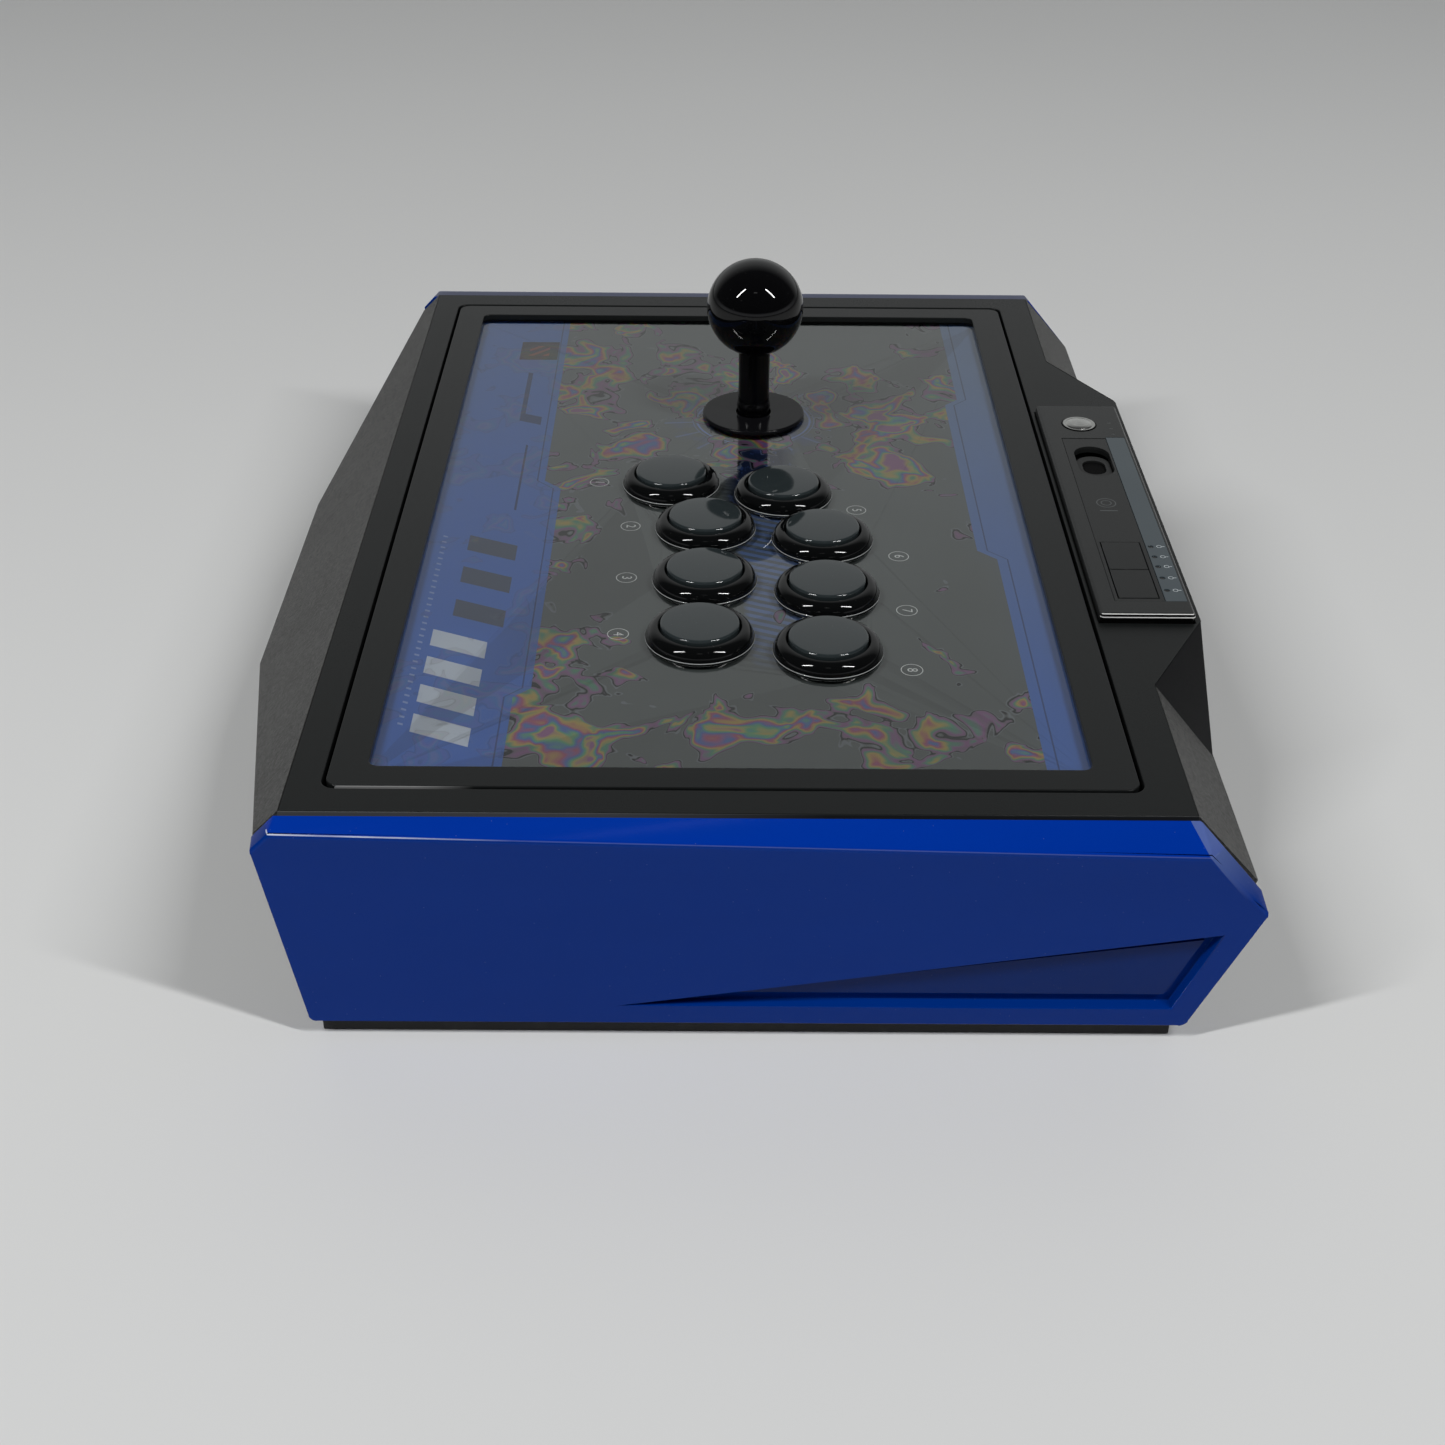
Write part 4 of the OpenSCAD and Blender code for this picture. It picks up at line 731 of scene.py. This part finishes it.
FINISH_NODES = {
    "inner": "base_pan left_bulkhead right_bulkhead lid_lock_knob shutter_plate",
    "panel_steel": "ballast_plate control_panel",
    "foot": "rubber_feet",
    "zinc": "base_screws frame_screws end_panel_screws usb_socket lid_lock_arm panel_clips "
            "clip_screws lock_tongue lever_plate lever_studs e_clip",
    "slope": "front_shell rear_shell",
    "frame": "top_frame",
    "blue": "left_end_panel right_end_panel",
    "navy": "recess_inserts",
    "console": "console_housing",
    "inset": "console_inset",
    "strip": "console_strip",
    "lamp_eye": "console_lights",
    "board": "console_board main_board lever_board",
    "silver": "guide_button",
    "key": "option_button_1 option_button_2",
    "slider": "lock_slider",
    "lid": "lid_frame",
    "window": "window",
    "print": "artwork_sheet",
    "shaft": "hinge_pins lever_shaft",
    "rim": "button_housings",
    "switch": "button_switches lever_housing lever_switches",
    "nylon": "restrictor_gate actuator",
    "washer": "dust_washer",
    "spring": "centering_spring",
    "cover": "shaft_cover",
    "ball": "ball_top",
    "plunger": " ".join(f"plunger_{n}" for n in range(1, 9)),
}
NODE_FINISH = {node: finish for finish, nodes in FINISH_NODES.items() for node in nodes.split()}
for node, finish in NODE_FINISH.items():
    NODES[node].data.materials.clear()
    NODES[node].data.materials.append(FINISH[finish])


# -------- modelling helpers
# The least bend of a corner, in degrees, and how near a level it lies
SHARP_DEG = 20.0
TOUCH = 0.00005


def only(obj):
    """obj alone is selected and active."""
    if bpy.context.object and bpy.context.object.mode != "OBJECT":
        bpy.ops.object.mode_set(mode="OBJECT")
    bpy.ops.object.select_all(action="DESELECT")
    obj.select_set(True)
    bpy.context.view_layer.objects.active = obj


def in_edit(obj):
    """Opens obj in edit mode with all of it selected."""
    only(obj)
    bpy.ops.object.mode_set(mode="EDIT")
    bpy.ops.mesh.select_all(action="SELECT")


def out_of_edit():
    """Back to object mode."""
    bpy.ops.object.mode_set(mode="OBJECT")


def pick_edges(obj, chosen):
    """In edit mode, selects the edges for which chosen(edge) is true."""
    bpy.ops.mesh.select_all(action="DESELECT")
    bpy.ops.mesh.select_mode(type="EDGE")
    mesh = bmesh.from_edit_mesh(obj.data)
    for edge in mesh.edges:
        if len(edge.link_faces) == 2 and chosen(edge):
            edge.select_set(True)
    bmesh.update_edit_mesh(obj.data)


def merged_copy(node, name):
    """A copy of a CAD node with its corners merged and its flat faces whole."""
    piece = NODES[node].copy()
    piece.data = NODES[node].data.copy()
    piece.parent = None
    for key in list(piece.keys()):
        del piece[key]
    piece.name = name
    bpy.context.scene.collection.objects.link(piece)
    in_edit(piece)
    bpy.ops.mesh.customdata_custom_splitnormals_clear()
    bpy.ops.mesh.remove_doubles(threshold=0.00001)
    bpy.ops.mesh.dissolve_limited(angle_limit=math.radians(0.4))
    out_of_edit()
    return piece


def smooth(piece, angle=40.0):
    """Soft shading across bends of up to angle degrees, flat on broad faces."""
    only(piece)
    bpy.ops.object.shade_smooth_by_angle(angle=math.radians(angle))
    weigh = piece.modifiers.new("even_shading", "WEIGHTED_NORMAL")
    weigh.keep_sharp = True
    bpy.ops.object.modifier_apply(modifier=weigh.name)


def finish_piece(piece, node, finish=None, hide=True):
    """The piece rides as its CAD node does and takes its finish; the node is hidden unless hide is
    False.
    """
    piece.data.materials.clear()
    piece.data.materials.append(FINISH[finish or NODE_FINISH[node]])
    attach(piece, BODY[node])
    if hide:
        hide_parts(node)
    return piece


def softened(node, rules, angle=38.0):
    """A copy of a CAD node with real rounded edges, in place of the node.

    rules is a list of (width, steps, test of an edge).
    """
    piece = merged_copy(node, node + "_soft")
    in_edit(piece)
    for width, steps, test in rules:
        pick_edges(piece, test)
        bpy.ops.mesh.bevel(offset=width, segments=steps, affect="EDGES", clamp_overlap=False)
    out_of_edit()
    smooth(piece, angle)
    return finish_piece(piece, node)


def middle(edge):
    """The middle of an edge."""
    return (edge.verts[0].co + edge.verts[1].co) / 2


def bend(edge):
    """The angle between an edge's two faces, in degrees."""
    return math.degrees(edge.calc_face_angle(0.0))


def corners_at(level):
    """A test for the corners that run along a level."""
    return lambda edge: all(v.co.z > level - TOUCH for v in edge.verts) and bend(edge) > SHARP_DEG


def spun(name, profile, centre, steps=72):
    """A turned piece: profile points are (radius, height), from the bottom up."""
    mesh = bpy.data.meshes.new(name)
    piece = bpy.data.objects.new(name, mesh)
    bpy.context.scene.collection.objects.link(piece)
    cx, cy = centre
    joins = [(i, i + 1) for i in range(len(profile) - 1)]
    mesh.from_pydata([(cx + r, cy, z) for r, z in profile], joins, [])
    in_edit(piece)
    bpy.ops.mesh.spin(steps=steps, angle=math.tau, center=(cx, cy, 0.0), axis=(0.0, 0.0, 1.0))
    bpy.ops.mesh.select_all(action="SELECT")
    bpy.ops.mesh.remove_doubles(threshold=0.000002)
    bpy.ops.mesh.normals_make_consistent(inside=False)
    out_of_edit()
    return piece


def arc(cx, cz, r, start, end, steps, rise=None):
    """Profile points on part of a circle, or of an oval of its own rise. Angles are in degrees."""
    turn = [math.radians(start + (end - start) * i / steps) for i in range(steps + 1)]
    return [(cx + r * math.cos(a), cz + (r if rise is None else rise) * math.sin(a)) for a in turn]


def copies(first, places, name):
    """Copies of a piece modelled at the origin, one at each place, joined as one piece."""
    made = []
    for place in places:
        twin = first.copy()
        twin.data = first.data.copy()
        twin.data.transform(Matrix.Translation(place))
        bpy.context.scene.collection.objects.link(twin)
        made.append(twin)
    bpy.data.objects.remove(first)
    return joined(made, name)


def joined(parts, name):
    """Several pieces made one."""
    only(parts[0])
    for part in parts:
        part.select_set(True)
    bpy.ops.object.join()
    parts[0].name = name
    return parts[0]


add_camera()

# -------- the body
# Past these x an edge is on an end panel's outer side, and on its ridge
PANEL_OUTER_X = 0.1890
RIDGE_X = 0.1950
RIDGE_LOW = 0.045


def ridge(edge):
    """The long ridges round an end panel's bulge."""
    m = middle(edge)
    return abs(m.x) > RIDGE_X and bend(edge) > 14.0 and m.z > RIDGE_LOW


def outer_edge(edge):
    """The other corners of an end panel's outer side."""
    outer = abs(middle(edge).x) > PANEL_OUTER_X and bend(edge) > 14.0
    return outer and not ridge(edge) and edge.calc_length() > 0.004


def low_corner(edge):
    """The two low corners of an end panel's outline."""
    a, b = (v.co for v in edge.verts)
    return abs(a.x - b.x) > 0.004 and max(a.z, b.z) < PANEL_LOW + 0.0005 and bend(edge) > 12.0


def shell_edge(edge):
    """The long corners of a shell's outside."""
    outward = sum((f.normal for f in edge.link_faces), Vector()).y * middle(edge).y > 0
    return edge.is_convex and bend(edge) > 6.0 and edge.calc_length() > 0.03 and outward


for node in ("left_end_panel", "right_end_panel"):
    softened(node, [(0.0020, 4, low_corner), (0.0011, 4, ridge), (0.0004, 2, outer_edge)], 50.0)
top_frame = softened("top_frame", [(0.0004, 3, corners_at(TOP_Z))])
softened("lid_frame", [(0.0004, 3, corners_at(TOP_Z))])
for node in ("front_shell", "rear_shell"):
    softened(node, [(0.0007, 5, shell_edge)], 20.0)

# -------- console
softened("console_housing", [], 40.0)
for node in ("console_inset", "console_strip", "option_button_1", "option_button_2", "lock_slider"):
    softened(node, [(0.00018, 2, corners_at(levels(node)[1]))])

GUIDE_LOW, GUIDE_TOP = levels("guide_button")
GUIDE_STEM_R = 0.0020
GUIDE_FLANGE_R = 0.0073
GUIDE_FLANGE_Z = (GUIDE_LOW + 0.0048, GUIDE_LOW + 0.0060)
GUIDE_BODY_R = 0.0060
GUIDE_CROWN_R = 0.0048
GUIDE_CROWN_H = 0.0009
round_button = spun("round_button", (
    [(0.0, GUIDE_LOW), (GUIDE_STEM_R, GUIDE_LOW), (GUIDE_STEM_R, GUIDE_FLANGE_Z[0]),
     (GUIDE_FLANGE_R, GUIDE_FLANGE_Z[0]), (GUIDE_FLANGE_R, GUIDE_FLANGE_Z[1]),
     (GUIDE_BODY_R, GUIDE_FLANGE_Z[1])]
    + arc(GUIDE_BODY_R - 0.0003, GUIDE_TOP - 0.0011, 0.0004, 0.0, 90.0, 4)
    + [(GUIDE_CROWN_R + 0.0003, GUIDE_TOP - 0.0008), (GUIDE_CROWN_R + 0.0001, GUIDE_TOP - GUIDE_CROWN_H)]
    + arc(0.0, GUIDE_TOP - GUIDE_CROWN_H, GUIDE_CROWN_R, 6.0, 90.0, 12, rise=GUIDE_CROWN_H)
), GUIDE.xy)
smooth(round_button)
finish_piece(round_button, "guide_button")

# -------- buttons
HOLE_R = 0.0149
BORE_R = 0.0127
STEM_HOLE_R = 0.0022
FLOOR_T = 0.002
RIM_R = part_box("button_housings")[1][0] - max(b.x for b in BUTTONS)
RIM_TOP = levels("button_housings")[1]
HOUSING_LOW = WINDOW_TOP - 0.020
CROWN_R = BORE_R + 0.0003
LIP_R = 0.0002
rim = spun("rim", (
    [(STEM_HOLE_R, HOUSING_LOW), (HOLE_R, HOUSING_LOW), (HOLE_R, WINDOW_TOP), (RIM_R, WINDOW_TOP)]
    + arc(RIM_R - LIP_R, RIM_EDGE_Z - LIP_R, LIP_R, 0.0, 90.0, 4)
    + arc(CROWN_R, RIM_EDGE_Z, RIM_R - 0.00035 - CROWN_R, 0.0, 90.0, 15, rise=RIM_TOP - RIM_EDGE_Z)
    + [(BORE_R, RIM_TOP - 0.0003), (BORE_R, HOUSING_LOW + FLOOR_T),
       (STEM_HOLE_R, HOUSING_LOW + FLOOR_T), (STEM_HOLE_R, HOUSING_LOW)]
), (0.0, 0.0))
smooth(rim)
rims = copies(rim, [Vector((b.x, b.y, 0.0)) for b in BUTTONS], "button_rims")
finish_piece(rims, "button_housings")

PLUNGER_LOW, PLUNGER_TOP = levels("plunger_1")
PLUNGER_R = 0.0124
STEM_R = 0.0018
SKIRT_R = PLUNGER_R - 0.0016
SKIRT_LOW = PLUNGER_LOW + 0.0006
CAP_LOW = PLUNGER_TOP - 0.003
EDGE_R = 0.0008
DOME = 0.0004
plunger_profile = (
    [(0.0, PLUNGER_LOW), (STEM_R, PLUNGER_LOW), (STEM_R, CAP_LOW), (SKIRT_R, CAP_LOW),
     (SKIRT_R, SKIRT_LOW), (PLUNGER_R, SKIRT_LOW)]
    + arc(PLUNGER_R - EDGE_R - 0.0002, PLUNGER_TOP - DOME - EDGE_R, EDGE_R, 0.0, 86.0, 8)
    + [(PLUNGER_R * out, PLUNGER_TOP - DOME * out * out)
       for out in (0.8, 0.65, 0.5, 0.35, 0.2, 0.1, 0.0)]
)
for number, spot in enumerate(BUTTONS, 1):
    made = spun(f"button_top_{number}", plunger_profile, spot.xy)
    smooth(made)
    finish_piece(made, f"plunger_{number}")

# -------- lever
BALL_R = 0.0175
BALL_Z = levels("ball_top")[1] - BALL_R
COVER_R = 0.0058
# The ball ends where the shaft cover meets it, and is tucked in above that
MOUTH = -math.degrees(math.acos(COVER_R / BALL_R))
TUCK_Z = BALL_Z + BALL_R * math.sin(math.radians(MOUTH)) + 0.0004
ball = spun("ball", [(0.0031, TUCK_Z), (COVER_R - 0.0003, TUCK_Z)]
            + arc(0.0, BALL_Z, BALL_R, MOUTH, 90.0, 44)[:-1] + [(0.0, BALL_Z + BALL_R)], LEVER_AT.xy, 96)
only(ball)
bpy.ops.object.shade_smooth()
finish_piece(ball, "ball_top")

WASHER_LOW, WASHER_TOP = levels("dust_washer")
WASHER_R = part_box("dust_washer")[1][0] - LEVER_AT.x
WASHER_BORE_R = 0.00645
washer = spun("washer", [(WASHER_BORE_R, WASHER_LOW), (WASHER_R - 0.0004, WASHER_LOW)]
              + arc(WASHER_R - 0.00035, WASHER_LOW + 0.00035, 0.00035, -90.0, 0.0, 3)
              + arc(WASHER_R - 0.00065, WASHER_TOP - 0.00065, 0.00065, 0.0, 90.0, 5)
              + arc(WASHER_BORE_R + 0.0004, WASHER_TOP - 0.0004, 0.0004, 90.0, 180.0, 3)
              + [(WASHER_BORE_R, WASHER_LOW)], LEVER_AT.xy, 96)
smooth(washer)
finish_piece(washer, "dust_washer")

COVER_LOW, COVER_TOP = levels("shaft_cover")
COVER_BORE_R = 0.0041
# A thin collar round the cover: a short rise under it and a long one above
COLLAR_Z = TOP_Z + 0.0020
COLLAR_OUT = 0.0004
COLLAR_UNDER = 0.0006
COLLAR_OVER = 0.0022
cover = spun("cover", [(COVER_BORE_R, COVER_LOW), (COVER_R, COVER_LOW), (COVER_R, COLLAR_Z)]
             + [(COVER_R + COLLAR_OUT * out, COLLAR_Z + COLLAR_UNDER * (1 - out))
                for out in (0.0, 0.6, 1.0)]
             + [(COVER_R + COLLAR_OUT * out, COLLAR_Z + COLLAR_UNDER + COLLAR_OVER * (1 - out))
                for out in (1.0, 0.6, 0.25, 0.0)]
             + [(COVER_R - 0.00012, (COLLAR_Z + COVER_TOP) / 2), (COVER_R, COVER_TOP),
                (COVER_BORE_R, COVER_TOP), (COVER_BORE_R, COVER_LOW)], LEVER_AT.xy)
smooth(cover)
finish_piece(cover, "shaft_cover")

# -------- foot rails
softened("rubber_feet", [(0.0005, 3, lambda edge: bend(edge) > SHARP_DEG)])

# -------- printed marks
MARK_LIFT = 0.00002
MARK_R = 0.0034
FIGURE_SIZE = 0.0046


def ring_mark(radius, width, place):
    """A thin flat ring, one side up."""
    bpy.ops.object.select_all(action="DESELECT")
    bpy.ops.mesh.primitive_circle_add(vertices=40, radius=radius, fill_type="NGON",
                                      location=(0.0, 0.0, 0.0))
    ring = bpy.context.object
    in_edit(ring)
    bpy.ops.mesh.inset(thickness=width)
    bpy.ops.mesh.delete(type="FACE")
    out_of_edit()
    ring.data.transform(Matrix.Translation(place))
    return ring


def number_mark(number, place):
    """A plain number, as a flat mesh. It reads from the player's side."""
    bpy.ops.object.select_all(action="DESELECT")
    bpy.ops.object.text_add(location=(0.0, 0.0, 0.0))
    words = bpy.context.object.data
    words.body = str(number)
    words.size = FIGURE_SIZE
    words.align_x = "CENTER"
    words.align_y = "CENTER"
    words.resolution_u = 3
    bpy.ops.object.convert(target="MESH")
    figure = bpy.context.object
    figure.data.transform(Matrix.Translation(place))
    return figure


def flat_bar(size, place):
    """A thin printed bar, size along X and Y."""
    bpy.ops.object.select_all(action="DESELECT")
    bpy.ops.mesh.primitive_plane_add(size=1.0, location=(0.0, 0.0, 0.0))
    bar = bpy.context.object
    bar.data.transform(Matrix.Translation(place) @ Matrix.Diagonal((size[0], size[1], 1.0, 1.0)))
    return bar


def printed(parts, name, finish, node):
    """One piece of printed marks, which rides with the node it is printed on."""
    return finish_piece(joined(parts, name), node, finish, hide=False)


def island_middles(node):
    """The middle of each separate solid of a CAD node."""
    mesh = bmesh.new()
    mesh.from_mesh(NODES[node].data)
    bmesh.ops.remove_doubles(mesh, verts=mesh.verts, dist=0.00001)
    left, found = set(mesh.verts), []
    while left:
        island, edge_of = set(), {left.pop()}
        while edge_of:
            vert = edge_of.pop()
            island.add(vert)
            edge_of |= {e.other_vert(vert) for e in vert.link_edges} - island
        left -= island
        low = Vector(min(v.co[k] for v in island) for k in range(3))
        high = Vector(max(v.co[k] for v in island) for k in range(3))
        found.append((low + high) / 2)
    mesh.free()
    return found


# A number in a ring beside each button, each row placed by the photograph's point of its last one
art_tree = tree_of(NODES["artwork_sheet"])
mark_front = seen_on("mark_front_row", art_tree)
mark_rear = seen_on("mark_rear_row", art_tree)
marks = []
for number, spot in enumerate(BUTTONS, 1):
    anchor, last = (mark_front, BUTTONS[3]) if number <= 4 else (mark_rear, BUTTONS[7])
    place = Vector((anchor.x + spot.x - last.x, anchor.y + spot.y - last.y, anchor.z + MARK_LIFT))
    marks += [ring_mark(MARK_R, 0.00028, place), number_mark(number, place)]
number_marks = printed(marks, "number_marks", "ink", "artwork_sheet")

# A ring and a bar beside each of the five lights
STRIP_Z = levels("console_strip")[1] + MARK_LIFT
marks = []
for spot in sorted(island_middles("console_lights"), key=lambda spot: spot.x):
    place = Vector((spot.x, spot.y + 0.0027, STRIP_Z))
    marks += [ring_mark(0.0009, 0.00026, place),
              flat_bar((0.00035, 0.0008), place + Vector((0.0, 0.0014, 0.0)))]
printed(marks, "strip_marks", "grey_ink", "console_strip")

# Three short dashes behind the round button
DASH_AT = Vector((GUIDE.x - 0.0010, GUIDE.y + 0.0112, CONSOLE_TOP + MARK_LIFT))
printed([flat_bar((0.0005, 0.0012), DASH_AT + Vector((0.0048 * i, 0.0, 0.0))) for i in range(3)],
        "console_dashes", "dim_ink", "console_housing")

# Two plain rings and a dash on the console's inset
INSET_MARK_AT = Vector((0.0080, GUIDE.y, levels("console_inset")[1] + MARK_LIFT))
printed([ring_mark(0.0034, 0.0004, INSET_MARK_AT), ring_mark(0.0019, 0.0004, INSET_MARK_AT),
         flat_bar((0.0006, 0.0060), INSET_MARK_AT + Vector((0.0058, 0.0, 0.0)))],
        "inset_mark", "dim_ink", "console_inset")

# -------- floor and light
FLOOR = (0.715, 0.72, 0.715)


def pale_floor():
    """A pale matt floor with a faint cloudiness."""
    p = Paint("pale_floor")
    cloud = p.noise(p.place(), 1.6, 3.0)
    return p.close(p.node("ShaderNodeBsdfPrincipled", {}, {
        "Base Color": p.mix(cloud, shade(FLOOR, 0.97), shade(FLOOR, 1.03)), "Roughness": 0.62,
        "Specular IOR Level": 0.2}))


bpy.ops.object.select_all(action="DESELECT")
bpy.ops.mesh.primitive_plane_add(size=14.0, location=(0.0, 0.0, 0.0))
floor = bpy.context.object
floor.name = "floor"
floor.data.materials.append(pale_floor())


def strip_lamp(name, place, power, width, length, roll=0.0):
    """A rectangular lamp aimed at the object, its length upright and then rolled."""
    data = bpy.data.lights.new(name, "AREA")
    data.shape = "RECTANGLE"
    data.size = width
    data.size_y = length
    data.energy = power
    lamp = bpy.data.objects.new(name, data)
    bpy.context.scene.collection.objects.link(lamp)
    back = (Vector(place) - Vector((0.0, 0.0, 0.05))).normalized()
    level = Vector((0.0, 0.0, 1.0)).cross(back).normalized()
    turned = Matrix((level, back.cross(level), back)).transposed()
    lamp.matrix_world = (Matrix.Translation(place) @ turned.to_4x4()
                         @ Matrix.Rotation(math.radians(roll), 4, "Z"))


strip_lamp("tube_left", (0.95, -1.300, 1.84), 28.0, 0.10, 1.1, -16.0)
strip_lamp("tube_right", (0.95, 1.300, 1.84), 28.0, 0.10, 1.1, 16.0)
strip_lamp("far_panel", (1.25, 0.0, 2.0), 0.12, 0.30, 0.08)


def room_light():
    """A pale wall beyond the object, a dark room behind the camera, and a pale band at the horizon."""
    room = Paint("room", "worlds", "ShaderNodeOutputWorld")
    x, _, z = room.split(room.node("ShaderNodeTexCoord", output="Generated"))
    wall = room.ramp(x.between(-1.0, 1.0), [(0.0, (0.46, 0.47, 0.47)), (0.12, (0.46, 0.47, 0.47)),
                                            (0.29, (0.045, 0.046, 0.047)), (1.0, (0.025, 0.025, 0.026))])
    band = z.near(0.03, 0.03, 0.09)
    light = room.mix(band * x.between(-0.6, 0.2), wall, (0.60, 0.61, 0.63))
    return room.close(room.node("ShaderNodeBackground", {}, {"Color": light}))


bpy.context.scene.world = room_light()
bpy.context.scene.view_settings.view_transform = "Standard"


# -------- the frame's corners
# How far the frame's near and far corners lie in front of the lid's frame, and behind it
CORNER_FRONT = 0.011
CORNER_REAR = 0.01275


def write_points():
    """Reads the y of the frame's front and rear corners from the lid's frame, and keeps nothing."""
    front_y, rear_y = (corner[1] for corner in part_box("lid_frame"))
    front_y -= CORNER_FRONT
    rear_y += CORNER_REAR


write_points()
